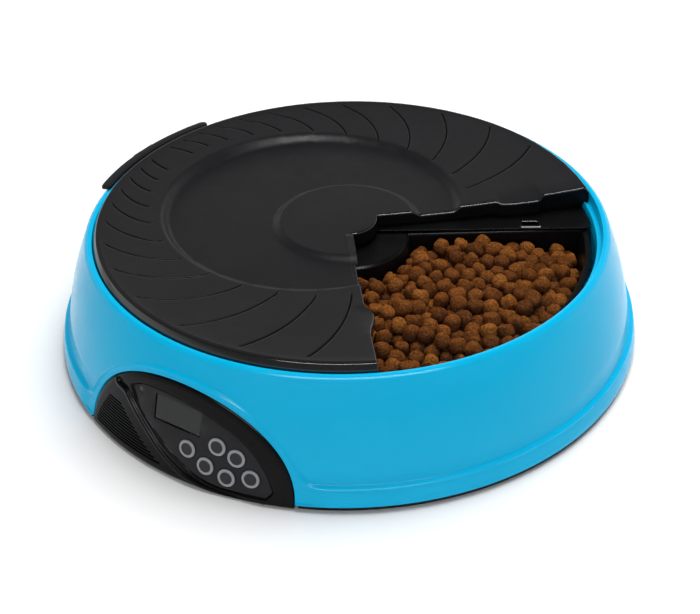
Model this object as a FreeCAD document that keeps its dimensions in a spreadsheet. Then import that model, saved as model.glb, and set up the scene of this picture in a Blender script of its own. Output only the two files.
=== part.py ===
import FreeCAD, Part
import math
import os
import re

import Sketcher

# Round four-meal automatic pet feeder. Millimetres, +Z up, origin at the centre of the feet's resting plane.
# The control panel faces -Y, the lid's latch is at -X and the lid's feeding opening is at +X.

doc = FreeCAD.newDocument("pet_feeder")
V = FreeCAD.Vector

# ---------------------------------------------------------------- driving dimensions

DIMENSIONS = [
    # housing
    ("wall_thick", 2.2), ("plate_radius", 160.2), ("plate_bottom", 0.8), ("plate_top", 3.0),
    ("shell_bottom", 3.2), ("skirt_radius", 161.2), ("crease_radius", 156.9), ("crease_level", 13.6),
    ("rim_outer_radius", 141.5), ("rim_outer_level", 63.8), ("rim_top_radius", 139.8), ("rim_top", 65.6),
    ("rim_inner_radius", 137.9), ("rim_inner_level", 64.9), ("ledge_level", 58.7), ("well_radius", 134.9),
    ("well_floor", 22.7), ("wall_bulge_radius", 205),
    ("tower_foot_radius", 32), ("tower_top_radius", 30), ("tower_top", 48.6),
    ("column_radius", 3.6), ("column_circle", 144), ("column_top", 46),
    ("screw_shank", 1.5), ("screw_head", 2.8), ("screw_length", 12), ("screw_count", 6),
    ("foot_radius", 7), ("foot_circle", 140), ("foot_thick", 1.6), ("foot_count", 4),
    # lid
    ("lid_radius", 137.3), ("lid_edge_radius", 133.8), ("lid_edge_level", 68.5), ("lid_skirt_bottom", 59),
    ("lid_thick", 2), ("annulus_radius", 67), ("annulus_level", 64), ("floor_level", 60.8),
    ("recess_radius", 81), ("recess_shift", 24), ("disc_radius", 37), ("disc_foot_radius", 41),
    ("disc_level", 63.7), ("groove_half_wide", 0.45), ("groove_depth", 0.5),
    ("open_high", 41.2), ("open_low", -51.8), ("apex_radius", 16.5), ("flange_bottom", 55.3),
    ("low_flange_bottom", 60), ("bulge_radius", 14), ("bulge_reach", 98), ("high_bulge_back", 12),
    ("low_bulge_back", 10.2),
    ("guard_angle", 32.1), ("guard_bottom", 53.8), ("guard_radius", 134.4), ("guard_thick", 1.5),
    ("slot_reach", 101), ("slot_gap", 4.3), ("slot_long", 8.4), ("slot_wide", 3.8), ("slot_rim_long", 12),
    ("slot_rim_wide", 5),
    # food tray
    ("tray_radius", 132.4), ("tray_top", 53.2), ("tray_floor", 25.5), ("tray_thick", 2),
    ("tray_wall_top", 129.2), ("tray_wall_foot", 124), ("hub_top_radius", 34), ("hub_foot_radius", 37),
    ("divider_thick", 3), ("divider_angle", 33.5), ("kibble_level", 47.5),
    # drive
    ("spindle_radius", 4), ("spindle_bottom", 4.9), ("hex_flats", 9), ("hex_top", 52.4),
    ("gear_module", 1), ("output_teeth", 44), ("idler_large_teeth", 36), ("idler_small_teeth", 12),
    ("pinion_teeth", 12), ("pressure_angle", 25), ("tooth_backlash", 0.2),
    ("output_gear_level", 8), ("gear_thick", 4), ("idler_large_level", 13.4), ("axle_radius", 1.5),
    ("run_clearance", 0.05), ("motor_offset", 15), ("motor_radius", 9.8), ("motor_length", 22),
    ("motor_angle", 210), ("case_bottom", 4.6), ("case_top", 18.4), ("case_wall", 1.6),
    ("plate_thick", 1.6), ("case_radius", 27), ("idler_case_radius", 22.5), ("lug_radius", 4.8),
    ("magnet_count", 4), ("magnet_circle", 15), ("magnet_radius", 2), ("magnet_thick", 1.6),
    # battery bay
    ("cell_radius", 7.1), ("cell_length", 50), ("cell_pitch", 15), ("cell_level", 11), ("bay_centre", 79),
    ("bay_length", 56), ("bay_width", 62), ("bay_top", 19.8), ("bay_wall", 1.5),
    ("door_length", 62), ("door_half_width", 31.5), ("door_travel", 6),
    # control panel
    ("panel_half_width", 63), ("panel_height", 50.3), ("panel_back", 138.5), ("face_foot_radius", 161.5),
    ("face_slope", 0.285), ("bezel_thick", 3.4), ("label_depth", 1.4), ("label_thick", 0.5),
    ("window_long", 28), ("window_high", 13.4), ("lamp_radius", 1.25), ("button_radius", 4.6),
    ("button_gap", 0.3), ("slot_count", 13), ("grille_pitch", 1.5), ("grille_slot", 0.8),
    ("grille_foot", 5.2),
    ("board_depth", 13), ("board_angle", 5), ("board_level", 19.5), ("board_long", 62), ("board_high", 23),
    ("speaker_angle", -15.5), ("speaker_level", 19), ("speaker_radius", 14.5),
    # latch
    ("latch_inner_radius", 137.7), ("latch_outer_radius", 144.3), ("latch_bottom", 66), ("latch_top", 68),
    ("latch_half_angle", 19.5), ("pivot_x", -152.4), ("pivot_level", 47), ("pin_radius", 1.2),
    ("barrel_radius", 3), ("ear_thick", 3), ("latch_arm_half", 8.5),
]

sheet = doc.addObject("Spreadsheet::Sheet", "dims")
for row, (alias, value) in enumerate(DIMENSIONS, start=1):
    sheet.set("A%d" % row, alias)
    sheet.set("B%d" % row, str(value))
    sheet.setAlias("B%d" % row, alias)
doc.recompute()


ALIASES = {alias for alias, value in DIMENSIONS}


def in_sheet(expression):
    """A length written with the sheet's aliases, as the expression that an object outside the sheet needs."""
    return re.sub(r"[a-z_]+", lambda word: "dims." * (word[0] in ALIASES) + word[0], str(expression))


def value_of(expression):
    """The number that a length written with the sheet's aliases stands for."""
    return float(sheet.evalExpression(in_sheet(expression)))


# Each sub-part that is written to a file of its own, in the order it is made.
subparts = []
names = {}


def unique(stem):
    """An internal object name that is used once."""
    names[stem] = names.get(stem, 0) + 1
    return "%s_%d" % (stem, names[stem])


def subpart(node, shape_object):
    """Labels a finished object as one of the sub-parts."""
    shape_object.Label = node
    subparts.append(shape_object)
    return shape_object


# ---------------------------------------------------------------- building blocks

ORIGIN = (0, 0, 0)


def bind(made, prop, expression):
    """Binds a size to a sheet expression."""
    made.setExpression(prop, in_sheet(expression))


def place(made, at=ORIGIN, axis=None, angle=0):
    """Places an object, with each coordinate and the turn bound to the sheet."""
    if axis is not None:
        made.Placement = FreeCAD.Placement(V(0, 0, 0), FreeCAD.Rotation(V(*axis), 1))
        bind(made, "Placement.Rotation.Angle", angle)
    for letter, coordinate in zip("xyz", at):
        bind(made, "Placement.Base." + letter, coordinate)
    return made


def cylinder(radius, height, at=ORIGIN, axis=None, angle=0):
    made = doc.addObject("Part::Cylinder", unique("cylinder"))
    bind(made, "Radius", radius)
    bind(made, "Height", height)
    return place(made, at, axis, angle)


def cone(radius_low, radius_high, height, at=ORIGIN, axis=None, angle=0):
    made = doc.addObject("Part::Cone", unique("cone"))
    bind(made, "Radius1", radius_low)
    bind(made, "Radius2", radius_high)
    bind(made, "Height", height)
    return place(made, at, axis, angle)


def box(length, width, height, at=ORIGIN, axis=None, angle=0):
    made = doc.addObject("Part::Box", unique("box"))
    bind(made, "Length", length)
    bind(made, "Width", width)
    bind(made, "Height", height)
    return place(made, at, axis, angle)


def fuse(*shapes):
    made = doc.addObject("Part::MultiFuse", unique("fuse"))
    made.Shapes = list(shapes)
    return made


def cut(base, *tools):
    made = doc.addObject("Part::Cut", unique("cut"))
    made.Base = base
    made.Tool = tools[0] if len(tools) == 1 else fuse(*tools)
    return made


def common(*shapes):
    made = doc.addObject("Part::MultiCommon", unique("common"))
    made.Shapes = list(shapes)
    return made


def group(shapes):
    """Separate solids kept in one object, as for identical fasteners."""
    made = doc.addObject("Part::Compound", unique("group"))
    made.Links = list(shapes)
    return made


def turned(shape_object, angle, about=(0, 0, 1)):
    """A copy of a shape, turned about an axis through the origin."""
    made = doc.addObject("Part::Compound", unique("turned"))
    made.Links = [shape_object]
    return place(made, ORIGIN, about, angle)


def set_in(shape_object, placement):
    """A shape made about the origin, moved as one piece to a placement."""
    made = doc.addObject("Part::Compound", unique("set"))
    made.Links = [shape_object]
    made.Placement = placement
    return made


def origin_plane(body, role):
    for feature in body.Origin.OriginFeatures:
        if feature.Role == role:
            return feature
    raise ValueError(role)


def outline_sketch(body, plane, points):
    """A closed sketch of straight and round edges. Each corner is (across, up) or (across, up, bulge radius
    of the edge that follows). They are sheet expressions. A negative radius bulges to the other side."""
    sketch = body.newObject("Sketcher::SketchObject", unique("outline"))
    sketch.AttachmentSupport = [(origin_plane(body, plane + "_Plane"), "")]
    sketch.MapMode = "FlatFace"
    corners = [V(value_of(point[0]), value_of(point[1]), 0) for point in points]
    radii = [value_of(point[2]) if len(point) == 3 else 0 for point in points]
    starts = []
    for index, corner in enumerate(corners):
        following = corners[(index + 1) % len(corners)]
        if radii[index]:
            sketch.addGeometry(arc_between(corner, following, radii[index]), False)
            starts.append(1 if radii[index] > 0 else 2)
        else:
            sketch.addGeometry(Part.LineSegment(corner, following), False)
            starts.append(1)
    for index, start in enumerate(starts):
        following = (index + 1) % len(starts)
        sketch.addConstraint(
            Sketcher.Constraint("Coincident", index, 3 - start, following, starts[following]))
    for index, point in enumerate(points):
        for kind, offset, axis_line in (("DistanceX", 0, -2), ("DistanceY", 1, -1)):
            level = corners[index].x if offset == 0 else corners[index].y
            if abs(level) < 1e-9:
                sketch.addConstraint(Sketcher.Constraint("PointOnObject", index, starts[index], axis_line))
                continue
            number = sketch.addConstraint(Sketcher.Constraint(kind, -1, 1, index, starts[index], level))
            bind(sketch, "Constraints[%d]" % number, point[offset])
        if radii[index]:
            number = sketch.addConstraint(Sketcher.Constraint("Radius", index, abs(radii[index])))
            bind(sketch, "Constraints[%d]" % number, "abs(%s)" % point[2])
    return sketch


def arc_between(start, end, radius):
    """The short arc from start to end; a positive radius turns counter-clockwise."""
    chord = end - start
    middle = (start + end) * 0.5
    left = V(-chord.y, chord.x, 0).normalize()
    rise = math.sqrt(radius * radius - chord.Length * chord.Length / 4)
    centre = middle + left * (rise if radius > 0 else -rise)
    circle = Part.Circle(centre, V(0, 0, 1), abs(radius))
    first, last = (start, end) if radius > 0 else (end, start)
    return Part.ArcOfCircle(circle, circle.parameter(first), unwrapped(circle, first, last))


def unwrapped(circle, first, last):
    """The parameter of an arc's last point, past that of its first."""
    low = circle.parameter(first)
    high = circle.parameter(last)
    return high if high > low else high + 2 * math.pi


def revolved(points, plane="XZ"):
    """A body turned about Z from an outline of (radius, level) corners."""
    body = doc.addObject("PartDesign::Body", unique("turning"))
    sketch = outline_sketch(body, plane, points)
    feature = body.newObject("PartDesign::Revolution", unique("revolution"))
    feature.Profile = sketch
    feature.ReferenceAxis = (sketch, ["V_Axis"])
    feature.Angle = 360
    return body


def padded(points, length, plane="XY", both_ways=False):
    """A body pushed out from an outline, along +Z from XY or along -Y from XZ."""
    body = doc.addObject("PartDesign::Body", unique("pushing"))
    sketch = outline_sketch(body, plane, points)
    feature = body.newObject("PartDesign::Pad", unique("pad"))
    feature.Profile = sketch
    bind(feature, "Length", length)
    feature.Midplane = both_ways
    return body


def around(maker, count, circle, first_angle=0):
    """Copies of a piece made at (x, y) on a circle about Z."""
    made = []
    for number in range(int(value_of(count))):
        angle = "(%s + %d * 360 / %s)" % (first_angle, number, count)
        made.append(maker("%s * cos(%s)" % (circle, angle), "%s * sin(%s)" % (circle, angle)))
    return made


def polar(distance, angle):
    return V(distance * math.cos(math.radians(angle)), distance * math.sin(math.radians(angle)), 0)


# ---------------------------------------------------------------- drive layout


def drive_layout():
    """The idler's and motor's axes, from the centre distances of the two gear pairs."""
    output_pair = value_of("gear_module * (output_teeth + idler_small_teeth) / 2")
    motor_pair = value_of("gear_module * (idler_large_teeth + pinion_teeth) / 2")
    offset = value_of("motor_offset")
    between = math.acos((output_pair ** 2 + offset ** 2 - motor_pair ** 2) / (2 * output_pair * offset))
    motor_angle = math.radians(value_of("motor_angle"))
    idler_angle = motor_angle - between
    idler = V(output_pair * math.cos(idler_angle), output_pair * math.sin(idler_angle), 0)
    motor = V(offset * math.cos(motor_angle), offset * math.sin(motor_angle), 0)
    return idler, motor, math.degrees(idler_angle)


IDLER, MOTOR, IDLER_ANGLE = drive_layout()

CASE_LUGS = [(IDLER_ANGLE + 52, 31), (IDLER_ANGLE - 52, 31), (IDLER_ANGLE + 180, 31.5)]


def case_lugs(radius, height, level):
    """A round piece at each of the gearbox's screws."""
    lugs = []
    for angle, reach in CASE_LUGS:
        spot = polar(reach, angle)
        lugs.append(cylinder(radius, height, (spot.x, spot.y, level)))
    return lugs


# ---------------------------------------------------------------- housing


def panel_column(grow):
    """A half-oval column along Y through the outer wall, as wide as the control panel, grown all round."""
    oval = doc.addObject("Part::Ellipse", unique("oval"))
    bind(oval, "MajorRadius", "panel_half_width + %s" % grow)
    bind(oval, "MinorRadius", "panel_height + %s" % grow)
    place(oval, (0, "-panel_back", 0), (1, 0, 0), 90)
    column = doc.addObject("Part::Extrusion", unique("column"))
    column.Base = oval
    column.DirMode = "Custom"
    column.Dir = V(0, -1, 0)
    column.LengthFwd = 60
    column.Solid = True
    return column


def face_band(depth_out, depth_in, low, high):
    """A conical band of the panel's face, between two depths below the face and two levels."""
    foot = "face_foot_radius - face_slope * (%s - 1) - (%s)"
    return revolved([
        (foot % (low, depth_in), low),
        (foot % (low, depth_out), low),
        (foot % (high, depth_out), high),
        (foot % (high, depth_in), high),
    ])


def build_outer_shell():
    turning = revolved([
        ("skirt_radius - wall_thick", "shell_bottom"),
        ("skirt_radius", "shell_bottom"),
        ("crease_radius", "crease_level", "wall_bulge_radius"),
        ("rim_outer_radius", "rim_outer_level"),
        ("rim_top_radius", "rim_top"),
        ("rim_inner_radius", "rim_inner_level"),
        ("rim_inner_radius", "ledge_level"),
        ("well_radius", "ledge_level"),
        ("well_radius", "well_floor"),
        ("tower_foot_radius", "well_floor"),
        ("tower_top_radius", "tower_top"),
        ("spindle_radius + 2.5", "tower_top"),
        ("spindle_radius + 2.5", "tower_top - wall_thick - 1"),
        ("tower_top_radius - wall_thick", "tower_top - wall_thick - 1"),
        ("tower_foot_radius - wall_thick", "well_floor - wall_thick"),
        ("well_radius + wall_thick", "well_floor - wall_thick"),
        ("well_radius + wall_thick", "ledge_level - wall_thick"),
        ("rim_inner_radius + wall_thick", "ledge_level - wall_thick"),
        ("rim_inner_radius + wall_thick", "rim_outer_level - wall_thick", "-wall_bulge_radius"),
        ("crease_radius - wall_thick", "crease_level"),
    ])
    columns = around(
        lambda x, y: cylinder("column_radius", "column_top - 5", (x, y, 5)), "screw_count", "column_circle")
    wall_room = revolved([
        ("well_radius + 1", "shell_bottom"),
        ("skirt_radius - 1", "shell_bottom"),
        ("crease_radius - 1", "crease_level", "wall_bulge_radius"),
        ("rim_outer_radius - 1", "rim_outer_level"),
        ("well_radius + 1", "rim_outer_level"),
    ])
    kept_columns = common(fuse(*columns), wall_room)
    brow = cut(common(face_band(-0.6, 2, "shell_bottom", 56), panel_column(4.5)), panel_column(0))
    ears = [
        box(9, "ear_thick", 9, ("pivot_x - 3.5", side, "pivot_level - 4.5"))
        for side in ("latch_arm_half + 0.4", "-latch_arm_half - 0.4 - ear_thick")
    ]
    shell = fuse(turning, kept_columns, brow, *ears)
    screw_holes = around(
        lambda x, y: cylinder("screw_shank", "screw_length", (x, y, 4)), "screw_count", "column_circle")
    pin_hole = cylinder("pin_radius", 40, ("pivot_x", 20, "pivot_level"), (1, 0, 0), 90)
    bosses = case_lugs(3.4, 0.5, "case_top + plate_thick + 0.2")
    boss_holes = case_lugs(1.2, 2, "case_top + plate_thick")
    subpart("outer_shell", cut(fuse(shell, *bosses), panel_column(0), pin_hole, *screw_holes, *boss_holes))


def build_base_plate():
    disc = cylinder("plate_radius", "plate_top - plate_bottom", (0, 0, "plate_bottom"))
    lip = cut(cylinder(156.4, 3.4, (0, 0, 2.8)), cylinder(154.8, 5, (0, 0, 2)), panel_column(6))
    bosses = around(
        lambda x, y: cylinder("column_radius + 1.4", 2, (x, y, 2.8)), "screw_count", "column_circle")
    bay_outer = box(
        "bay_length + 2 * bay_wall", "bay_width + 2 * bay_wall", "bay_top - 2.8",
        ("bay_centre - bay_length / 2 - bay_wall", "-bay_width / 2 - bay_wall", 2.8))
    apron = box(
        "door_length + 14", "2 * door_half_width + 8", 1.6,
        ("bay_centre - door_length / 2 - 3", "-door_half_width - 4", "plate_top - 0.1"))
    bay_hollow = box(
        "bay_length", "bay_width", "bay_top - bay_wall",
        ("bay_centre - bay_length / 2", "-bay_width / 2", 0))
    door_track = box(
        "door_length + door_travel + 1.2", "2 * door_half_width + 3.6", "plate_top - 1.5",
        ("bay_centre - door_length / 2 - 0.3", "-door_half_width - 1.8", 1.5))
    door_mouth = box(
        "door_length + door_travel + 1.2", "2 * door_half_width + 0.6", 2,
        ("bay_centre - door_length / 2 - 0.3", "-door_half_width - 0.3", 0))
    panel_notch = cut(panel_column(1), cylinder(156.8, 80, (0, 0, -20)))
    screw_holes = around(
        lambda x, y: fuse(
            cylinder("screw_shank + 0.2", 6, (x, y, 0)), cylinder("screw_head + 0.3", 1.9, (x, y, 0.7))),
        "screw_count", "column_circle")
    foot_seats = around(
        lambda x, y: cylinder("foot_radius + 0.1", "foot_thick - plate_bottom", (x, y, "plate_bottom")),
        "foot_count", "foot_circle", 45)
    solid = fuse(disc, lip, bay_outer, apron, *bosses)
    subpart("base_plate", cut(
        solid, bay_hollow, door_track, door_mouth, panel_notch, *screw_holes, *foot_seats))


def build_feet_and_screws():
    feet = around(
        lambda x, y: cone("foot_radius - 0.8", "foot_radius", "foot_thick", (x, y, 0)),
        "foot_count", "foot_circle", 45)
    subpart("rubber_feet", group(feet))
    screws = around(
        lambda x, y: cut(
            fuse(
                cylinder("screw_head", 1.6, (x, y, 1)),
                cylinder("screw_shank", "screw_length - 0.4", (x, y, 2.6))),
            box(3, 0.7, 0.8, (x + " - 1.5", y + " - 0.35", 1)),
            box(0.7, 3, 0.8, (x + " - 0.35", y + " - 1.5", 1))),
        "screw_count", "column_circle")
    subpart("base_screws", group(screws))


# ---------------------------------------------------------------- batteries


def cell_rows():
    """The Y of each battery cell, and whether its positive end points to +X."""
    return [("%s * cell_pitch" % (row - 1.5), row % 2 == 0) for row in range(4)]


def build_batteries():
    low_end, high_end = "bay_centre - bay_length / 2", "bay_centre + bay_length / 2"
    cells, springs, plates = [], [], []
    for y, forward in cell_rows():
        start = high_end + " - 0.5 - cell_length" if forward else low_end + " + 0.5"
        can_start = start + (" + 0" if forward else " + 1.3")
        cap_start = start + (" + cell_length - 1.4" if forward else " + 0")
        spring_start = low_end + " + 0.9" if forward else high_end + " - 4.9"
        can = cylinder("cell_radius", "cell_length - 1.3", (can_start, y, "cell_level"), (0, 1, 0), 90)
        cap = cylinder(2.7, 1.4, (cap_start, y, "cell_level"), (0, 1, 0), 90)
        cells.append(fuse(can, cap))
        springs.append(coil(2.6, 0.35, 0.8, 5, (spring_start, y, "cell_level"), (0, 1, 0), 90))
        for x in (low_end + " + 0.1", high_end + " - 0.4"):
            plates.append(box(0.3, 11, 10, (x, y + " - 5.5", "cell_level - 5")))
    subpart("battery_cells", group(cells))
    subpart("battery_springs", group(springs))
    subpart("battery_contacts", group(plates))


def coil(radius, wire_radius, pitch, turns, at, axis, angle):
    """A round-wire coil spring that starts at a point and winds along the turned Z axis."""
    helix = doc.addObject("Part::Helix", unique("helix"))
    bind(helix, "Radius", radius)
    bind(helix, "Pitch", pitch)
    bind(helix, "Height", "%s * %s" % (pitch, turns))
    helix.SegmentLength = 1
    section = doc.addObject("Part::Circle", unique("section"))
    bind(section, "Radius", wire_radius)
    place(section, (radius, 0, 0), (1, 0, 0), 90)
    wire = doc.addObject("Part::Sweep", unique("wire"))
    wire.Sections = [section]
    wire.Spine = (helix, [])
    wire.Solid = True
    wire.Frenet = True
    holder = doc.addObject("Part::Compound", unique("coil"))
    holder.Links = [wire]
    return place(holder, at, axis, angle)


def build_battery_door():
    start = "bay_centre - door_length / 2"
    panel = box("door_length", "2 * door_half_width", 1.8, (start, "-door_half_width", 0.9))
    tongues = box("door_length", "2 * door_half_width + 3", 0.9, (start, "-door_half_width - 1.5", 1.8))
    finger_grooves = [
        box(1.2, 24, 0.6, ("bay_centre + door_length / 2 - %d" % inset, -12, 0.9))
        for inset in (6, 9, 12, 15)
    ]
    subpart("battery_door", cut(fuse(panel, tongues), *finger_grooves))


# ---------------------------------------------------------------- control panel

# Each button: turn about Z from the panel's middle, and level on the face.
BUTTONS = {
    "button_upper_left": (2.5, 18.7),
    "button_upper_middle": (8.5, 24.7),
    "button_upper_right": (12.3, 21.4),
    "button_lower_left": (6.4, 13.2),
    "button_lower_middle": (10.6, 10.4),
    "button_lower_right": (15.1, 12.6),
}


# The display window's and the status lamp's turn and level.
WINDOW_AT = (-0.3, 33.2)
LAMP_AT = (-9.6, 37.2)


def on_face(turn, level, depth=0):
    """The placement of a piece on the panel's face: local Z points straight out, local X to the right."""
    lean = math.atan(value_of("face_slope"))
    azimuth = math.radians(turn - 90)
    outward = V(math.cos(azimuth) * math.cos(lean), math.sin(azimuth) * math.cos(lean), math.sin(lean))
    across = V(-math.sin(azimuth), math.cos(azimuth), 0)
    radius = value_of("face_foot_radius") - value_of("face_slope") * (level - 1)
    foot = V(radius * math.cos(azimuth), radius * math.sin(azimuth), level)
    facing = FreeCAD.Rotation(across, outward.cross(across), outward, "ZXY")
    return FreeCAD.Placement(foot - outward * depth, facing)


def label_outline():
    """The leaf-shaped label field, as corners and edge radii in (across, level)."""
    return [
        (-30.5, 36.5),
        (-25, 28.2, 200),
        (9.5, 7.8, 60),
        (30, 4.4),
        (49.5, 4.4),
        (51.8, 7.5, 45),
        (24, 35.2, 76),
        (-24, 39.8),
    ]


def grille_slots():
    slots = []
    for number in range(int(value_of("slot_count"))):
        level = value_of("grille_foot") + number * value_of("grille_pitch")
        share = (level - value_of("grille_foot")) / 18
        left = -57.2 + 9.5 * share ** 1.4
        right = -9 - 29 * share ** 0.85
        slots.append(box(
            right - left, 30, "grille_slot",
            (left, -165, "grille_foot + %d * grille_pitch - grille_slot / 2" % number)))
    return slots


def window_box(grow, thick, depth):
    """A block the size of the display window, grown all round, from a depth up to its thickness."""
    length, height = "(window_long + 2 * %s)" % grow, "(window_high + 2 * %s)" % grow
    return box(length, height, thick, ("-%s / 2" % length, "-%s / 2" % height, "-(%s)" % depth))


def panel_holes():
    """The holes for the display window, the status lamp and the buttons."""
    buttons = [
        set_in(cylinder("button_radius + button_gap", 12, (0, 0, -9)), on_face(turn, level))
        for turn, level in BUTTONS.values()
    ]
    window = set_in(window_box(0, 12, 8), on_face(*WINDOW_AT))
    lamp = set_in(cylinder("lamp_radius", 12, (0, 0, -9)), on_face(*LAMP_AT))
    return [window, lamp, *buttons]


def build_panel_bezel():
    body = common(face_band(0, "bezel_thick", 0.9, 52), panel_column(-0.3))
    seat_ring = cut(panel_column(0), panel_column(-1))
    seat_rim = common(face_band("bezel_thick - 1", "bezel_thick", 3.2, 52), seat_ring)
    label_room = label_field(-1, "label_depth")
    speaker_spot = on_face(value_of("speaker_angle"), value_of("speaker_level"))
    speaker_room = set_in(cylinder("speaker_radius + 1", 8, (0, 0, -11)), speaker_spot)
    grille_thinning = cut(speaker_room, face_band(-2, 3, 0, 60))
    sunk = cut(fuse(body, seat_rim), label_room)
    pierced = cut(sunk, *panel_holes())
    subpart("panel_bezel", cut(cut(pierced, grille_thinning), *grille_slots()))


def label_field(depth_out, depth_in):
    """The part of the panel's face under the label, between two depths."""
    field = place(padded(label_outline(), 40, "XZ"), (0, "-panel_back", 0))
    return common(face_band(depth_out, depth_in, 1, 50), field)


def build_label():
    field = label_field("label_depth - label_thick", "label_depth")
    subpart("control_label", cut(field, *panel_holes()))


def build_display():
    subpart("display_window", set_in(window_box(-0.2, 1.2, 3), on_face(*WINDOW_AT)))
    subpart("display_glass", set_in(window_box(1.5, 1.6, 6.2), on_face(*WINDOW_AT)))
    holder = cut(window_box(3, 2.2, 8.6), window_box(1, 1, 7.4))
    subpart("display_holder", set_in(holder, on_face(*WINDOW_AT)))
    lamp = fuse(cylinder("lamp_radius - 0.1", 5.4, (0, 0, -6.4)), cylinder(1.6, 1, (0, 0, -6.6)))
    subpart("status_lamp", set_in(lamp, on_face(*LAMP_AT)))


def build_buttons():
    for node, (turn, level) in BUTTONS.items():
        swing = math.radians(turn - value_of("board_angle"))
        nearer = value_of("face_foot_radius") * (1 - math.cos(swing))
        stem_tip = value_of("board_depth") - nearer - 4.6
        cap = doc_fillet(cylinder("button_radius", 3.7, (0, 0, -3.9)), 0.4)
        flange = cylinder("button_radius + 0.5", 0.7, (0, 0, -5.2))
        neck = cylinder("button_radius - 0.6", 1.5, (0, 0, -5.1))
        stem = cylinder(1.5, stem_tip - 4.6, (0, 0, -stem_tip))
        subpart(node, set_in(fuse(cap, neck, flange, stem), on_face(turn, level)))


def doc_fillet(base, radius):
    """A cylinder with its top edge rounded."""
    doc.recompute()
    made = doc.addObject("Part::Fillet", unique("rounded"))
    made.Base = base
    top = base.Shape.BoundBox.ZMax
    chosen = [
        number for number, edge in enumerate(base.Shape.Edges, start=1)
        if abs(edge.BoundBox.ZMin - top) < 1e-6 and abs(edge.BoundBox.ZMax - top) < 1e-6
    ]
    made.Edges = [(number, radius, radius) for number in chosen]
    return made


def build_board():
    spot = on_face(value_of("board_angle"), value_of("board_level"), value_of("board_depth"))
    board = box("board_long", "board_high", 1.6, ("-board_long / 2", "-board_high / 2", -1.6))
    subpart("control_board", set_in(board, spot))
    switches = []
    for turn, level in BUTTONS.values():
        target = on_face(turn, level, value_of("board_depth")).Base
        local = spot.inverse().multVec(target)
        switches.append(fuse(
            box(6, 6, 2.4, (local.x - 3, local.y - 3, 0)), cylinder(1.6, 0.8, (local.x, local.y, 2.3))))
    subpart("key_switches", set_in(group(switches), spot))
    chips = [
        box(12, 12, 1.5, (-26, -4, -3.2)), box(7, 5, 1.4, (-8, -6, -3.1)), box(5, 4, 1.4, (6, 2, -3.1)),
        cylinder(3, 5, (22, 0, -6.7)), box(8, 3, 2.2, (-4, 4, -3.9)),
    ]
    subpart("board_components", set_in(group(chips), spot))
    subpart("microphone", set_in(cylinder(2.4, 3.2, (-27, 1, 0.05)), spot))


def build_speaker():
    spot = on_face(value_of("speaker_angle"), value_of("speaker_level"))
    frame = revolved([
        ("speaker_radius - 2", -5),
        ("speaker_radius", -5),
        ("speaker_radius", -6),
        (8, -10.4),
        (5.8, -10.4),
        (5.8, -9.6),
        (7.6, -9.6),
        ("speaker_radius - 2", -6.2),
    ])
    cone_sheet = revolved([
        (0, -7.6),
        (3, -7),
        (4, -8.2),
        ("speaker_radius - 2.4", -5.3),
        ("speaker_radius - 2.4", -5.8),
        (4.2, -8.9),
        (3, -7.5),
        (0, -8.1),
    ])
    subpart("speaker_frame", set_in(frame, spot))
    subpart("speaker_cone", set_in(cone_sheet, spot))
    magnet = fuse(cylinder(8, 3, (0, 0, -13.5)), cylinder(5.7, 2, (0, 0, -11.5)))
    subpart("speaker_magnet", set_in(magnet, spot))


# ---------------------------------------------------------------- drive


def gear_points(teeth, phase):
    """The outline of an involute gear about the origin, with one tooth centred at the phase angle."""
    module = value_of("gear_module")
    pressure = math.radians(value_of("pressure_angle"))
    pitch_radius = module * teeth / 2
    base_radius = pitch_radius * math.cos(pressure)
    tip_radius = pitch_radius + module
    root_radius = pitch_radius - 1.2 * module
    half_tooth = (math.pi * module / 2 - value_of("tooth_backlash")) / 2 / pitch_radius

    def half_angle(radius):
        """Half of the tooth's angle at a radius."""
        if radius <= base_radius:
            radius = base_radius
        tangent = math.acos(base_radius / radius)
        return half_tooth + (math.tan(pressure) - pressure) - (math.tan(tangent) - tangent)

    low = max(root_radius + 0.15 * module, base_radius)
    radii = [root_radius] + [low + (tip_radius - low) * step / 5 for step in range(6)]
    points = []
    for tooth in range(teeth):
        centre = math.radians(phase) + 2 * math.pi * tooth / teeth
        for side, ordered in ((-1, radii), (1, radii[::-1])):
            for radius in ordered:
                angle = centre + side * half_angle(radius)
                points.append(V(radius * math.cos(angle), radius * math.sin(angle), 0))
    return points + points[:1]


def gear(teeth, phase, thick, at):
    """A spur gear blank with real teeth. Its outline is a formula, so its shape is made in code."""
    made = doc.addObject("Part::Feature", unique("gear"))
    face = Part.Face(Part.makePolygon(gear_points(teeth, phase)))
    made.Shape = face.extrude(V(0, 0, thick))
    made.Placement = FreeCAD.Placement(V(*at), FreeCAD.Rotation())
    return made


def index_magnets():
    """The small magnets in the output gear's underside, one for each meal."""
    return around(
        lambda x, y: cylinder("magnet_radius", "magnet_thick", (x, y, "output_gear_level")),
        "magnet_count", "magnet_circle", "divider_angle")


def build_output_drive():
    teeth = int(value_of("output_teeth"))
    level, thick = value_of("output_gear_level"), value_of("gear_thick")
    toothed = gear(teeth, IDLER_ANGLE, thick, (0, 0, level))
    boss = cylinder(8, 1.4, (0, 0, "output_gear_level + gear_thick"))
    bore = cylinder("spindle_radius", 12, (0, 0, "output_gear_level - 1"))
    subpart("output_gear", cut(fuse(toothed, boss), bore, *index_magnets()))
    subpart("index_magnets", group(index_magnets()))
    shaft = cylinder("spindle_radius", "tower_top + 0.6 - spindle_bottom", (0, 0, "spindle_bottom"))
    head = common(
        hex_column("hex_flats", "hex_top - tower_top - 0.5", "tower_top + 0.5"),
        cylinder("hex_flats / 2 + 0.5", "hex_top", (0, 0, 0)))
    subpart("drive_spindle", fuse(shaft, head))


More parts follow.
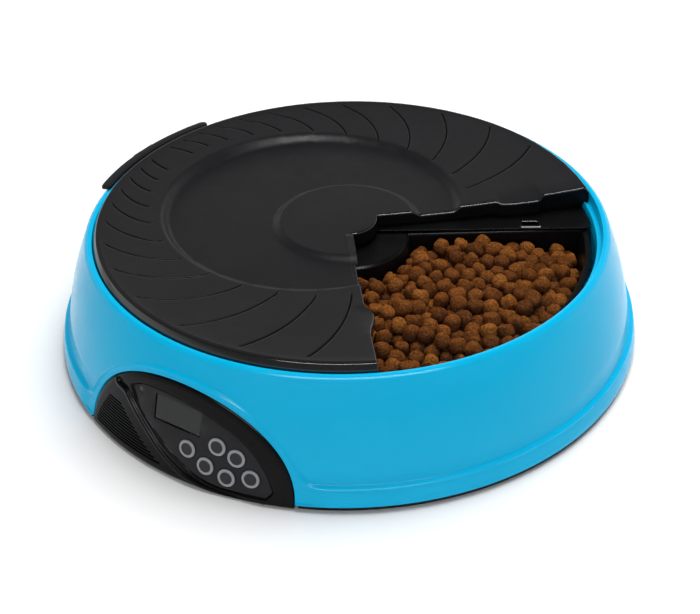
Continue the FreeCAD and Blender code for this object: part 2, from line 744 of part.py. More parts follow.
def hex_column(flats, height, level):
    """A six-sided column across its flats, standing at a level."""
    column = doc.addObject("Part::Prism", unique("hexagon"))
    column.Polygon = 6
    bind(column, "Circumradius", "%s / 2 / cos(30)" % flats)
    bind(column, "Height", height)
    return place(column, (0, 0, level))


def build_idler():
    large, small = int(value_of("idler_large_teeth")), int(value_of("idler_small_teeth"))
    to_motor = math.degrees(math.atan2(MOTOR.y - IDLER.y, MOTOR.x - IDLER.x))
    at = (IDLER.x, IDLER.y)
    small_gear = gear(
        small, IDLER_ANGLE + 180 + 180 / small, value_of("idler_large_level - output_gear_level + 0.2"),
        (*at, value_of("output_gear_level - 0.2")))
    large_gear = gear(large, to_motor, value_of("gear_thick"), (*at, value_of("idler_large_level")))
    bore = cylinder("axle_radius + run_clearance", 20, (*at, 5))
    subpart("idler_gear", cut(fuse(small_gear, large_gear), bore))
    axle_length = "case_top + 0.2 + plate_thick - case_bottom - 0.6"
    subpart("idler_axle", cylinder("axle_radius", axle_length, (*at, "case_bottom + 0.6")))


def build_motor():
    teeth = int(value_of("pinion_teeth"))
    from_idler = math.degrees(math.atan2(MOTOR.y - IDLER.y, MOTOR.x - IDLER.x))
    at = (MOTOR.x, MOTOR.y)
    pinion = gear(
        teeth, from_idler + 180 + 180 / teeth, value_of("gear_thick + 0.4"),
        (*at, value_of("idler_large_level - 0.2")))
    subpart("motor_pinion", cut(pinion, cylinder(1, 10, (*at, 10))))
    subpart("motor_shaft", cylinder(1, 9, (*at, "idler_large_level - 0.2")))
    mount_level = "case_top + 0.2 + plate_thick"
    can = fuse(
        cylinder("motor_radius", "motor_length", (*at, mount_level)),
        cylinder(3, 1.2, (*at, mount_level + " + motor_length - 0.1")),
        cylinder(3.4, 1.4, (*at, mount_level + " - 1.3")))
    subpart("drive_motor", cut(can, cylinder("1 + run_clearance", 6, (*at, mount_level + " - 2"))))


def case_outline(inset, height, level):
    """The gearbox's plan: round about the spindle and round about the idler, joined."""
    spread = math.hypot(IDLER.x, IDLER.y)
    joined = box(
        spread, "2 * (idler_case_radius - %s)" % inset, height,
        (0, "-(idler_case_radius - %s)" % inset, level))
    return fuse(
        cylinder("case_radius - %s" % inset, height, (0, 0, level)),
        cylinder("idler_case_radius - %s" % inset, height, (IDLER.x, IDLER.y, level)),
        turned(joined, IDLER_ANGLE))


def build_gearbox():
    block = fuse(
        case_outline(0, "case_top - case_bottom", "case_bottom"),
        *case_lugs("lug_radius", "case_top - case_bottom", "case_bottom"))
    cup = cut(block, case_outline("case_wall", "case_top", "case_bottom + case_wall"))
    bearing = cylinder("spindle_radius + 1.8", 2.6, (0, 0, "case_bottom"))
    axle_seat = cylinder("axle_radius + 1.6", 2.6, (IDLER.x, IDLER.y, "case_bottom"))
    holes = case_lugs(1.2, 30, 3)
    subpart("gearbox_case", cut(
        fuse(cup, bearing, axle_seat),
        cylinder("spindle_radius + run_clearance", 10, (0, 0, "spindle_bottom - 0.1")),
        cylinder("axle_radius", 10, (IDLER.x, IDLER.y, "case_bottom + 0.6")), *holes))
    plate = fuse(
        case_outline(0, "plate_thick", "case_top + 0.2"),
        *case_lugs("lug_radius", "plate_thick", "case_top + 0.2"))
    subpart("gearbox_plate", cut(
        plate,
        cylinder("spindle_radius + 0.6", 20, (0, 0, 10)),
        cylinder("axle_radius", 20, (IDLER.x, IDLER.y, 10)),
        cylinder(3.5, 20, (MOTOR.x, MOTOR.y, 10)), *holes))
    heads = case_lugs(2.2, 1.2, "case_bottom - 1.2")
    shanks = case_lugs(1.2, 17, "case_bottom - 0.1")
    subpart("gearbox_screws", group([fuse(head, shank) for head, shank in zip(heads, shanks)]))
    sleeve = cylinder("spindle_radius + 2.5", "wall_thick + 1", (0, 0, "tower_top - wall_thick - 1"))
    flange = cylinder("spindle_radius + 4", 1, (0, 0, "tower_top - wall_thick - 2"))
    bore = cylinder("spindle_radius + run_clearance", 20, (0, 0, "tower_top - 10"))
    subpart("spindle_bush", cut(fuse(sleeve, flange), bore))
    spot = polar(value_of("magnet_circle"), 60)
    subpart("position_sensor", fuse(
        box(10, 6, 0.8, (spot.x - 5, spot.y - 3, "case_bottom + case_wall")),
        box(3, 3, 0.8, (spot.x - 1.5, spot.y - 1.5, "case_bottom + case_wall + 0.7"))))


# ---------------------------------------------------------------- food tray


def tray_outer():
    """The solid within the tray's outer surface, down to its underside."""
    return [
        ("tray_wall_foot + tray_thick", "tray_floor - tray_thick"),
        ("tray_wall_top + tray_thick", "tray_top - tray_thick"),
        ("tray_radius", "tray_top - tray_thick"),
        ("tray_radius", "tray_top"),
    ]


def build_food_tray():
    bowl = revolved([
        ("hub_foot_radius - tray_thick", "tray_floor - tray_thick"),
        *tray_outer(),
        ("tray_wall_top", "tray_top"),
        ("tray_wall_foot + 1.5", "tray_floor + 6"),
        ("tray_wall_foot - 4", "tray_floor"),
        ("hub_foot_radius + 4", "tray_floor"),
        ("hub_foot_radius - 1", "tray_floor + 5"),
        ("hub_top_radius", "tray_top - 1.5"),
        ("hub_top_radius - 1.5", "tray_top"),
        (0, "tray_top"),
        (0, "tower_top + 0.7"),
        ("hex_flats / 2 + 3.5", "tower_top + 0.7"),
        ("hex_flats / 2 + 3.5", "tray_top - tray_thick"),
        ("hub_top_radius - tray_thick", "tray_top - tray_thick"),
    ])
    envelope = revolved([
        ("hub_top_radius - 1", "tray_floor - 1"),
        *tray_outer(),
        ("hub_top_radius - 1", "tray_top"),
    ])
    wall = box(
        "2 * tray_radius", "divider_thick", 40, ("-tray_radius", "-divider_thick / 2", "tray_floor - 1"))
    crossed = fuse(turned(wall, "divider_angle"), turned(wall, "divider_angle + 90"))
    dividers = common(crossed, envelope)
    socket = hex_column("hex_flats + 0.1", "hex_top - tower_top + 0.1", "tower_top")
    subpart("food_tray", cut(fuse(bowl, dividers), socket))


def build_kibble():
    heap = revolved([
        ("hub_foot_radius + 4", "tray_floor + 0.2"),
        ("tray_wall_foot - 4", "tray_floor + 0.2"),
        ("tray_wall_foot + 1", "tray_floor + 6.4"),
        ("tray_wall_top - 1.4", "kibble_level"),
        ("hub_top_radius + 1.2", "kibble_level"),
        ("hub_foot_radius + 0.4", "tray_floor + 5.6"),
    ])
    inset = "divider_thick / 2 + 0.2"
    quarter = box("tray_radius", "tray_radius", 40, (inset, inset, "tray_floor"))
    subpart("kibble_fill", common(heap, turned(quarter, "divider_angle - 90")))


# ---------------------------------------------------------------- lid


def opening_wedge(grow):
    """The feeding opening's column: between two upright planes, clear of a round apex and two edge bulges."""
    below_high = turned(
        box(200, 200, 60, (-20, "-200 + %s" % grow, 40)), "open_high")
    above_low = turned(
        box(200, 200, 60, (-20, "-%s" % grow, 40)), "open_low")
    apex = cylinder("apex_radius - %s" % grow, 80, (0, 0, 30))
    bulges = [
        turned(cylinder("bulge_radius - %s" % grow, 80, ("bulge_reach", side, 30)), angle)
        for side, angle in (("high_bulge_back", "open_high"), ("-low_bulge_back", "open_low"))
    ]
    return cut(common(below_high, above_low), apex, *bulges)


def lid_form(inset):
    """The solid under the lid's top surface, set in by a thickness all over."""
    dome = revolved([
        (0, "flange_bottom - 5 * %s" % inset),
        ("guard_radius - %s" % inset, "flange_bottom - 5 * %s" % inset),
        ("guard_radius - %s" % inset, "lid_skirt_bottom - 5 * %s" % inset),
        ("lid_radius - %s" % inset, "lid_skirt_bottom - 5 * %s" % inset),
        ("lid_radius - %s" % inset, "rim_inner_level - 0.1 * %s" % inset),
        ("lid_edge_radius + 1.6 - %s" % inset, "lid_edge_level - 1 - %s" % inset),
        ("lid_edge_radius - 0.5 - %s" % inset, "lid_edge_level - %s" % inset),
        ("annulus_radius", "annulus_level - %s" % inset),
        (0, "annulus_level - %s" % inset),
    ])
    recess = cylinder("recess_radius + %s" % inset, 40, ("-recess_shift", 0, "floor_level - %s" % inset))
    disc = cone(
        "disc_foot_radius - %s" % inset, "disc_radius - %s" % inset, "disc_level - floor_level",
        (0, 0, "floor_level - %s" % inset))
    disc_core = cylinder("disc_foot_radius - %s" % inset, 2.4, (0, 0, "floor_level - 2.3 - %s" % inset))
    return fuse(cut(dome, recess), disc, disc_core)


# Each pair of grooves: turn from the latch at the lid's edge, turn at the inner end, and inner end radius.
GROOVES = [
    (4, 5.7, 117), (9, 11.8, 116.5), (14.5, 18.3, 115), (20.5, 26.5, 111.5), (27.5, 35.5, 107.5),
    (36, 46, 102.5), (46, 57.5, 96.5), (57, 70, 90.5), (70, 83, 85), (85, 96.5, 80.5), (100, 110.5, 77),
    (114.5, 124, 74.5),
]
GROOVE_START = 129.5


def groove_arcs():
    """The plan of the lid's swept grooves, in pairs either side of the latch: (start, middle, end) points."""
    arcs = []
    for outer, inner, reach in GROOVES:
        middle = outer * 0.36 + inner * 0.64
        for side in (-1, 1):
            arcs.append([
                polar(GROOVE_START, 180 + side * outer),
                polar((GROOVE_START + reach) / 2, 180 + side * middle),
                polar(reach, 180 + side * inner),
            ])
    return arcs


def groove_cutters():
    """Thin upright strips along the groove arcs."""
    strips = []
    for start, middle, end in groove_arcs():
        path = Part.Arc(start, middle, end)
        strip = doc.addObject("Part::Feature", unique("groove"))
        ring = path.toShape().extrude(V(0, 0, 40))
        strip.Shape = ring.makeOffsetShape(value_of("groove_half_wide"), 0.01, fill=True)
        strip.Placement = FreeCAD.Placement(V(0, 0, 45), FreeCAD.Rotation())
        strips.append(strip)
    return strips


def build_lid():
    form = lid_form(0)
    plate = cut(lid_form(0), lid_form("lid_thick"))
    flange_band = cut(common(form, opening_wedge("lid_thick")), opening_wedge(0))
    low_side = turned(box(160, 12, 20, (20, -6, "low_flange_bottom - 20")), "open_low")
    flanges = cut(flange_band, low_side)
    skin = cut(common(lid_form(0), annulus_room()), lid_form("groove_depth"))
    grooves = common(skin, fuse(*groove_cutters()))
    subpart("lid_cover", cut(fuse(plate, flanges), opening_wedge(0), grooves))


def annulus_room():
    """The ring of the lid's top that carries the grooves."""
    return cut(cylinder(133, 30, (0, 0, 45)), cylinder(70, 40, (0, 0, 40)))


def build_lid_guard():
    outer = cut(
        common(
            cylinder("guard_radius", "guard_thick", (0, 0, "guard_bottom")),
            turned(box(200, 200, 30, (0, "-200 + 5", 40)), "open_high"),
            turned(box(200, 200, 30, (0, 0, 40)), "guard_angle")),
        cylinder("apex_radius - 2", 30, (0, 0, 40)))
    slot_rim = box(
        "slot_rim_long", "slot_rim_wide", 0.8,
        ("slot_reach - slot_rim_long / 2", "slot_gap - slot_rim_wide / 2",
         "guard_bottom + guard_thick - 0.1"))
    slot = box(
        "slot_long", "slot_wide", 10,
        ("slot_reach - slot_long / 2", "slot_gap - slot_wide / 2", "guard_bottom - 4"))
    subpart("lid_guard", cut(fuse(outer, turned(slot_rim, "guard_angle")), turned(slot, "guard_angle")))


# ---------------------------------------------------------------- latch


def build_latch():
    strip = common(
        cut(
            cylinder("latch_outer_radius", "latch_top - latch_bottom", (0, 0, "latch_bottom")),
            cylinder("latch_inner_radius", 40, (0, 0, 50))),
        turned(box(200, 200, 90, (0, 0, 0)), "180 - latch_half_angle"),
        turned(box(200, 200, 90, (0, -200, 0)), "180 + latch_half_angle"))
    arm = padded([
        ("-latch_outer_radius + 2", "latch_bottom + 0.1"),
        ("-latch_outer_radius + 2", "latch_top - 0.3"),
        ("-latch_outer_radius - 0.4", "latch_top - 0.3"),
        ("-latch_outer_radius - 3", 64),
        ("pivot_x - barrel_radius", "pivot_level + 3"),
        ("pivot_x - barrel_radius", "pivot_level"),
        ("pivot_x + 1.6", "pivot_level"),
        ("pivot_x + 1.6", "pivot_level + 4.5"),
        ("-latch_outer_radius + 1", 63.4),
    ], "2 * latch_arm_half", "XZ", True)
    barrel = cylinder(
        "barrel_radius", "2 * latch_arm_half", ("pivot_x", "latch_arm_half", "pivot_level"), (1, 0, 0), 90)
    bore = cylinder("pin_radius + run_clearance", 40, ("pivot_x", 20, "pivot_level"), (1, 0, 0), 90)
    spring_room = box(14, 6.4, 12, ("pivot_x - 7", -3.2, "pivot_level - 6"))
    subpart("lid_latch", cut(fuse(strip, arm, barrel), bore, spring_room))
    subpart("latch_pin", cylinder(
        "pin_radius", "2 * (latch_arm_half + 0.4 + ear_thick)",
        ("pivot_x", "latch_arm_half + 0.4 + ear_thick", "pivot_level"), (1, 0, 0), 90))
    subpart("latch_spring", coil(1.85, 0.35, 0.8, 5, ("pivot_x", 2, "pivot_level"), (1, 0, 0), 90))


# ---------------------------------------------------------------- internal leads


def lead(points, radius):
    """A two-core lead: straight runs joined by arcs that touch them, with a round section."""
    corners = [V(*point) for point in points]
    edges = []
    at = corners[0]
    for before, corner, after in zip(corners, corners[1:], corners[2:]):
        into = (corner - before).normalize()
        out = (after - corner).normalize()
        half_turn = into.getAngle(out) / 2
        trim = 0.45 * min((corner - before).Length, (after - corner).Length)
        bend = trim / math.tan(half_turn)
        first, last = corner - into * trim, corner + out * trim
        inward = (out - into).normalize()
        middle = corner + inward * (bend / math.cos(half_turn) - bend)
        edges.append(Part.LineSegment(at, first).toShape())
        edges.append(Part.Arc(first, middle, last).toShape())
        at = last
    edges.append(Part.LineSegment(at, corners[-1]).toShape())
    path = Part.Wire(edges)
    start = Part.Circle(corners[0], corners[1] - corners[0], radius).toShape()
    made = doc.addObject("Part::Feature", unique("lead"))
    made.Shape = path.makePipeShell([Part.Wire([start])], True, False)
    return made


# The corners of each lead's run.
LEADS = {
    "battery_lead": [
        (62, -32.8, 12), (60, -52, 9), (50, -86, 7), (36, -112, 7), (26, -126, 8), (19, -136.5, 12),
    ],
    "motor_lead": [
        (-17, -31, 12), (-15, -52, 9), (-8, -86, 7), (2, -112, 7), (7, -126, 8), (8, -136.5, 12),
    ],
    "speaker_lead": [
        (-30, -137, 12), (-24, -134, 10), (-14, -132, 9), (-6, -133, 10), (-1, -137, 13),
    ],
}
LEAD_RADIUS = 0.9


def build_leads():
    for node, points in LEADS.items():
        subpart(node, lead(points, LEAD_RADIUS))


# ---------------------------------------------------------------- assembly

build_outer_shell()
build_base_plate()
build_feet_and_screws()
build_batteries()
build_battery_door()
build_panel_bezel()
build_label()
build_display()
build_buttons()
build_board()
build_speaker()
build_output_drive()
build_idler()
build_motor()
build_gearbox()
build_food_tray()
build_kibble()
build_lid()
build_lid_guard()
build_latch()
build_leads()
doc.recompute()

faults = []
for made in doc.Objects:
    if {"Invalid", "Error"} & set(made.State):
        faults.append("%s is %s" % (made.Name, made.State))
for made in subparts:
    if made.Shape.isNull() or not made.Shape.isValid():
        faults.append("%s has no valid shape" % made.Label)
if faults:
    raise RuntimeError("; ".join(faults))

os.makedirs("parts", exist_ok=True)
for made in subparts:
    made.Shape.exportStep("parts/%s.step" % made.Label)
    print("%-22s %2d solids %10.1f mm3" % (made.Label, len(made.Shape.Solids), made.Shape.Volume))
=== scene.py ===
import math

import bmesh
import bpy
import numpy as np
from mathutils import Matrix, Vector


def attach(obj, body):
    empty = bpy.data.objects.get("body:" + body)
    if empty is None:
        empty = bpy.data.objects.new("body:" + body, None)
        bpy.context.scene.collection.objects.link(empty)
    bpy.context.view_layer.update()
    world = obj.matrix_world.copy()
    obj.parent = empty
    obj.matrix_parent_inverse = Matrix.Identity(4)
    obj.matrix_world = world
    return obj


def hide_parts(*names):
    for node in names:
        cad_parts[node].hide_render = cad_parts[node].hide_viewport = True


# Round automatic pet feeder. Lengths inside the shape helpers are in millimetres and are scaled to metres
# when a mesh is made. The origin is the centre of the plane that the feet rest on; the panel faces -Y and
# the latch is at -X.

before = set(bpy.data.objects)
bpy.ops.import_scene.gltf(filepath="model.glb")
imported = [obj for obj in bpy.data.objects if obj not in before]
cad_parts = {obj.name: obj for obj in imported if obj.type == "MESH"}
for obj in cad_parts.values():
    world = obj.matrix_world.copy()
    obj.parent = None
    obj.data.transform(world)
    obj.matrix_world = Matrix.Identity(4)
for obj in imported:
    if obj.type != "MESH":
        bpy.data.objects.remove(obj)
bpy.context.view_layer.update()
MM = 0.001

# ---------------------------------------------------------------- small numeric helpers


def smooth(value, low, high):
    """0 below low, 1 above high, and a soft S between them."""
    share = np.clip((value - low) / (high - low), 0.0, 1.0)
    return share * share * (3 - 2 * share)


def soft_min(one, other, reach):
    """The smaller of two values, blended where they are within a reach of each other."""
    share = np.clip(0.5 + 0.5 * (other - one) / reach, 0.0, 1.0)
    return other + (one - other) * share - reach * share * (1 - share)


def curve_through(points, where):
    """A smooth curve through (position, value) points, without overshoot."""
    at = np.array([p[0] for p in points], float)
    value = np.array([p[1] for p in points], float)
    step = np.diff(at)
    slope = np.diff(value) / step
    tangent = np.zeros(len(at))
    tangent[0], tangent[-1] = slope[0], slope[-1]
    same = slope[:-1] * slope[1:] > 0
    weight_a, weight_b = 2 * step[1:] + step[:-1], step[1:] + 2 * step[:-1]
    with np.errstate(divide="ignore", invalid="ignore"):
        mean = (weight_a + weight_b) / (weight_a / slope[:-1] + weight_b / slope[1:])
    tangent[1:-1] = np.where(same, mean, 0.0)
    where = np.clip(np.asarray(where, float), at[0], at[-1])
    k = np.clip(np.searchsorted(at, where) - 1, 0, len(step) - 1)
    t = (where - at[k]) / step[k]
    return (
        (2 * t**3 - 3 * t**2 + 1) * value[k] + (t**3 - 2 * t**2 + t) * step[k] * tangent[k]
        + (3 * t**2 - 2 * t**3) * value[k + 1] + (t**3 - t**2) * step[k] * tangent[k + 1]
    )


def rounded(corners, closed=False, steps=5):
    """A polyline through (x, y) or (x, y, fillet) corners, with each fillet turned into an arc."""
    count = len(corners)
    points = []
    for i, corner in enumerate(corners):
        here = np.array(corner[:2], float)
        fillet = corner[2] if len(corner) > 2 else 0
        if fillet <= 0 or (not closed and i in (0, count - 1)):
            points.append(here)
            continue
        before = np.array(corners[i - 1][:2], float) - here
        after = np.array(corners[(i + 1) % count][:2], float) - here
        len_before, len_after = np.linalg.norm(before), np.linalg.norm(after)
        before, after = before / len_before, after / len_after
        half = math.acos(np.clip(before @ after, -1, 1)) / 2
        trim = min(fillet / math.tan(half), 0.49 * len_before, 0.49 * len_after)
        radius = trim * math.tan(half)
        middle = (before + after) / np.linalg.norm(before + after)
        centre = here + middle * radius / math.sin(half)
        start, end = here + before * trim - centre, here + after * trim - centre
        turn = math.atan2(start[0] * end[1] - start[1] * end[0], start @ end)
        for step in range(steps + 1):
            angle = turn * step / steps
            points.append(centre + np.array([
                start[0] * math.cos(angle) - start[1] * math.sin(angle),
                start[0] * math.sin(angle) + start[1] * math.cos(angle)]))
    return np.array(points)


def line_distance(points, x, y):
    """Distance from each (x, y) to a polyline."""
    best = np.full(np.shape(x), 1e9)
    for a, b in zip(points[:-1], points[1:]):
        run = b - a
        share = np.clip(((x - a[0]) * run[0] + (y - a[1]) * run[1]) / (run @ run), 0, 1)
        best = np.minimum(best, np.hypot(x - a[0] - share * run[0], y - a[1] - share * run[1]))
    return best


def inside(points, x, y):
    """True where (x, y) lies inside a closed outline."""
    odd = np.zeros(np.shape(x), bool)
    for a, b in zip(points, np.roll(points, -1, axis=0)):
        crosses = (a[1] > y) != (b[1] > y)
        with np.errstate(divide="ignore", invalid="ignore"):
            at = a[0] + (y - a[1]) * (b[0] - a[0]) / (b[1] - a[1])
        odd ^= crosses & (x < at)
    return odd


# ---------------------------------------------------------------- mesh helpers


def linked(name, data):
    """A new object in the scene."""
    made = bpy.data.objects.new(name, data)
    bpy.context.scene.collection.objects.link(made)
    return made


def new_object(name, verts, faces, sharp=40, face_slots=None):
    """A mesh object in the row frame, from millimetre vertices."""
    mesh = bpy.data.meshes.new(name)
    metres = np.asarray(verts, float) * MM
    mesh.from_pydata([tuple(v) for v in metres], [], [tuple(map(int, f)) for f in faces])
    mesh.update()
    if face_slots is not None:
        mesh.polygons.foreach_set("material_index", face_slots)
    clean = bmesh.new()
    clean.from_mesh(mesh)
    bmesh.ops.remove_doubles(clean, verts=clean.verts, dist=1e-6)
    bmesh.ops.dissolve_degenerate(clean, dist=1e-7, edges=clean.edges)
    clean.to_mesh(mesh)
    clean.free()
    mesh.shade_smooth()
    mesh.set_sharp_from_angle(angle=math.radians(sharp))
    return linked(name, mesh)


def grid_faces(rows, columns, wrap=False):
    """The faces of a grid whose vertices are listed row by row; wrap joins each row's end to its start."""
    faces = []
    for i in range(rows - 1):
        for j in range(columns if wrap else columns - 1):
            k = (j + 1) % columns
            faces.append((i * columns + j, i * columns + k, (i + 1) * columns + k, (i + 1) * columns + j))
    return faces


def upward(faces):
    """The same faces, wound so that a sheet laid out by rising reach and turn looks up."""
    return [face[::-1] for face in faces]


def face_outward(made):
    """Turns every face of a closed mesh outward."""
    work = bmesh.new()
    work.from_mesh(made.data)
    bmesh.ops.recalc_face_normals(work, faces=work.faces)
    work.to_mesh(made.data)
    work.free()
    return made


def lathe(name, profile, segments, sharp=40):
    """Turns a (radius, level) polyline about Z."""
    angles = np.radians(360.0 * np.arange(segments) / segments)
    rows = [np.column_stack((r * np.cos(angles), r * np.sin(angles), np.full(segments, z)))
            for r, z in profile]
    return new_object(name, np.vstack(rows), grid_faces(len(profile), segments, True), sharp)


def joined(name, parts):
    """One object out of several, with their material slots kept."""
    bpy.ops.object.select_all(action="DESELECT")
    for part in parts[1:]:
        part.select_set(True)
    parts[0].select_set(True)
    bpy.context.view_layer.objects.active = parts[0]
    bpy.ops.object.join()
    parts[0].name = name
    parts[0].data.name = name
    parts[0].select_set(False)
    return parts[0]


def modifier(made, kind, **settings):
    """Adds a modifier with the settings given."""
    added = made.modifiers.new(kind.lower(), kind)
    for key, value in settings.items():
        setattr(added, key, value)


# ---------------------------------------------------------------- materials


# The indices of a colour mix node's share, its two colours and its result.
MIX_SHARE, MIX_ONE, MIX_OTHER, MIX_RESULT = 0, 6, 7, 2


def noise(tree, place, scale, detail):
    """The strength of a noise pattern at each place."""
    made = tree.nodes.new("ShaderNodeTexNoise")
    made.inputs["Scale"].default_value = scale
    made.inputs["Detail"].default_value = detail
    tree.links.new(place, made.inputs["Vector"])
    return made.outputs["Fac"]


def spread(tree, source, low, high, first=0.3, last=0.7):
    """Stretches a value from first..last to low..high."""
    made = tree.nodes.new("ShaderNodeMapRange")
    for name, value in (("From Min", first), ("From Max", last), ("To Min", low), ("To Max", high)):
        made.inputs[name].default_value = value
    tree.links.new(source, made.inputs["Value"])
    return made.outputs["Result"]


def mix(tree, share, one, other):
    """A blend of two colours; each input is a value or another node's output."""
    made = tree.nodes.new("ShaderNodeMix")
    made.data_type = "RGBA"
    for index, value in ((MIX_SHARE, share), (MIX_ONE, one), (MIX_OTHER, other)):
        if hasattr(value, "is_linked"):
            tree.links.new(value, made.inputs[index])
        else:
            made.inputs[index].default_value = value
    return made.outputs[MIX_RESULT]


def moulded(name, color, roughness, variation, grain, grain_height, wear, metallic=0.0, rough_spread=0.06,
            specular=0.5):
    """A plastic, rubber or metal surface: mottled colour, uneven gloss, fine grain and lighter worn edges."""
    material = bpy.data.materials.new(name)
    material.use_nodes = True
    tree = material.node_tree
    nodes, links = tree.nodes, tree.links
    shader = nodes["Principled BSDF"]
    shader.inputs["Metallic"].default_value = metallic
    shader.inputs["Specular IOR Level"].default_value = specular
    place = nodes.new("ShaderNodeTexCoord").outputs["Object"]
    dark = (*(c * (1 - variation) for c in color), 1)
    light = (*(min(1, c * (1 + variation) + 0.003) for c in color), 1)
    worn = (*(min(1, c * 1.35 + 0.04) for c in color), 1)
    base = mix(tree, noise(tree, place, 34, 3), dark, light)
    edges = spread(tree, nodes.new("ShaderNodeNewGeometry").outputs["Pointiness"], 0.0, wear, 0.53, 0.68)
    scuffs = nodes.new("ShaderNodeMath")
    scuffs.operation = "MULTIPLY"
    links.new(edges, scuffs.inputs[0])
    links.new(spread(tree, noise(tree, place, 240, 4), 0.3, 1.0), scuffs.inputs[1])
    links.new(mix(tree, scuffs.outputs[0], base, worn), shader.inputs["Base Color"])
    low, high = max(0.02, roughness - rough_spread), roughness + rough_spread
    links.new(spread(tree, noise(tree, place, 120, 5), low, high), shader.inputs["Roughness"])
    bump = nodes.new("ShaderNodeBump")
    bump.inputs["Strength"].default_value = 0.6
    bump.inputs["Distance"].default_value = grain_height * MM
    links.new(noise(tree, place, grain, 2), bump.inputs["Height"])
    links.new(bump.outputs["Normal"], shader.inputs["Normal"])
    return material


def srgb(red, green, blue):
    """A linear colour from 0 to 255 screen values."""
    return tuple((c / 255 / 12.92 if c / 255 <= 0.04045 else ((c / 255 + 0.055) / 1.055) ** 2.4)
                 for c in (red, green, blue))


# Each surface: name, colour, roughness, mottling, grain scale, grain height and wear.
SHELL = moulded("shell_blue", srgb(2, 178, 225), 0.18, 0.03, 1500, 0.004, 0.0,
                rough_spread=0.04, specular=0.14)
LID = moulded("lid_black", srgb(22, 22, 24), 0.42, 0.08, 3400, 0.012, 0.2, specular=0.3)
GLOSS = moulded("lid_edge_black", srgb(13, 13, 15), 0.14, 0.1, 2200, 0.004, 0.1,
                rough_spread=0.04, specular=0.8)
# Painted shade: the lid's grooves get a near-black, dull copy of the lid's black, standing in for the shade
# inside them.
GROOVE_SHADE = moulded("lid_groove_painted_shade", srgb(5, 5, 6), 0.6, 0.1, 2200, 0.01, 0.0, specular=0.06)
TRAY = moulded("tray_black", srgb(8, 8, 9), 0.3, 0.1, 2200, 0.008, 0.1, specular=0.14)
PANEL = moulded("panel_black", srgb(5, 5, 7), 0.22, 0.1, 3600, 0.008, 0.05, specular=0.1)
LABEL = moulded("label_grey", srgb(22, 22, 25), 0.5, 0.06, 5200, 0.01, 0.05, specular=0.2)
RING = moulded("button_grey", srgb(140, 141, 145), 0.45, 0.06, 4200, 0.01, 0.1, specular=0.3)
KEY = moulded("button_dark", srgb(34, 34, 37), 0.45, 0.08, 4200, 0.01, 0.1, specular=0.25)
LATCH = moulded("latch_black", srgb(16, 16, 18), 0.45, 0.1, 3000, 0.02, 0.2, specular=0.3)
BASE = moulded("base_black", srgb(9, 9, 10), 0.5, 0.12, 2000, 0.03, 0.1, specular=0.15)
RUBBER = moulded("foot_rubber", srgb(34, 34, 35), 0.8, 0.15, 3000, 0.04, 0.2)
STEEL = moulded("screw_steel", srgb(188, 190, 195), 0.28, 0.08, 2600, 0.01, 0.15, metallic=1.0)
BRUSHED = moulded("brushed_steel", srgb(170, 172, 176), 0.38, 0.1, 4200, 0.02, 0.15, metallic=1.0)
BOARD = moulded("board_green", srgb(22, 92, 56), 0.35, 0.12, 2400, 0.01, 0.15)
NYLON = moulded("gear_white", srgb(226, 222, 208), 0.42, 0.04, 2600, 0.015, 0.1)
CASE = moulded("case_grey", srgb(120, 122, 124), 0.5, 0.08, 2200, 0.03, 0.2)
CELL = moulded("cell_jacket", srgb(40, 42, 46), 0.3, 0.1, 2600, 0.006, 0.1)
PAPER = moulded("cone_paper", srgb(44, 42, 40), 0.85, 0.25, 1800, 0.06, 0.1)
RED = moulded("lead_red", srgb(168, 34, 30), 0.5, 0.08, 2000, 0.02, 0.1)
SCREEN = moulded("display_grey", srgb(8, 9, 8), 0.3, 0.08, 1200, 0.004, 0.05)
LAMP = moulded("lamp_tint", srgb(30, 14, 14), 0.2, 0.08, 2600, 0.006, 0.1)


def clear_window():
    """The display's clear cover, with faint hazing."""
    material = moulded("window_clear", srgb(40, 43, 44), 0.08, 0.05, 900, 0.003, 0.1, rough_spread=0.03,
                       specular=0.12)
    shader = material.node_tree.nodes["Principled BSDF"]
    shader.inputs["Transmission Weight"].default_value = 0.75
    shader.inputs["IOR"].default_value = 1.46
    return material


WINDOW = clear_window()


def kibble_material():
    """Baked dry food: a tone for each piece, darker crust patches and a crumbly, porous surface."""
    material = moulded("kibble_brown", srgb(92, 51, 18), 0.8, 0.35, 1300, 1.1, 0.4, rough_spread=0.1,
                       specular=0.12)
    tree = material.node_tree
    nodes, links = tree.nodes, tree.links
    shader = nodes["Principled BSDF"]
    mottled = shader.inputs["Base Color"].links[0].from_socket
    tone = nodes.new("ShaderNodeAttribute")
    tone.attribute_name = "tone"
    ramp = nodes.new("ShaderNodeValToRGB")
    ramp.color_ramp.elements[0].color = (*srgb(86, 46, 14), 1)
    ramp.color_ramp.elements[1].color = (*srgb(168, 104, 40), 1)
    between = ramp.color_ramp.elements.new(0.55)
    between.color = (*srgb(122, 69, 23), 1)
    links.new(tone.outputs["Fac"], ramp.inputs["Fac"])
    crust = mix(tree, 0.6, mottled, ramp.outputs["Color"])
    place = nodes.new("ShaderNodeTexCoord").outputs["Object"]
    pores = spread(tree, noise(tree, place, 1000, 4), 0.55, 1.3, 0.4, 0.62)
    speckled = nodes.new("ShaderNodeVectorMath")
    speckled.operation = "SCALE"
    links.new(crust, speckled.inputs[0])
    links.new(pores, speckled.inputs["Scale"])
    links.new(speckled.outputs["Vector"], shader.inputs["Base Color"])
    return material


KIBBLE = kibble_material()


def finish_piece(made, material, body, slot, *nodes):
    """Gives a piece its material if it has none, lets it ride on its body, and hides the nodes it stands for;
    the slot is not used.
    """
    if not made.data.materials:
        made.data.materials.append(material)
    if nodes:
        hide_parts(*nodes)
    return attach(made, body)


# ---------------------------------------------------------------- base shell

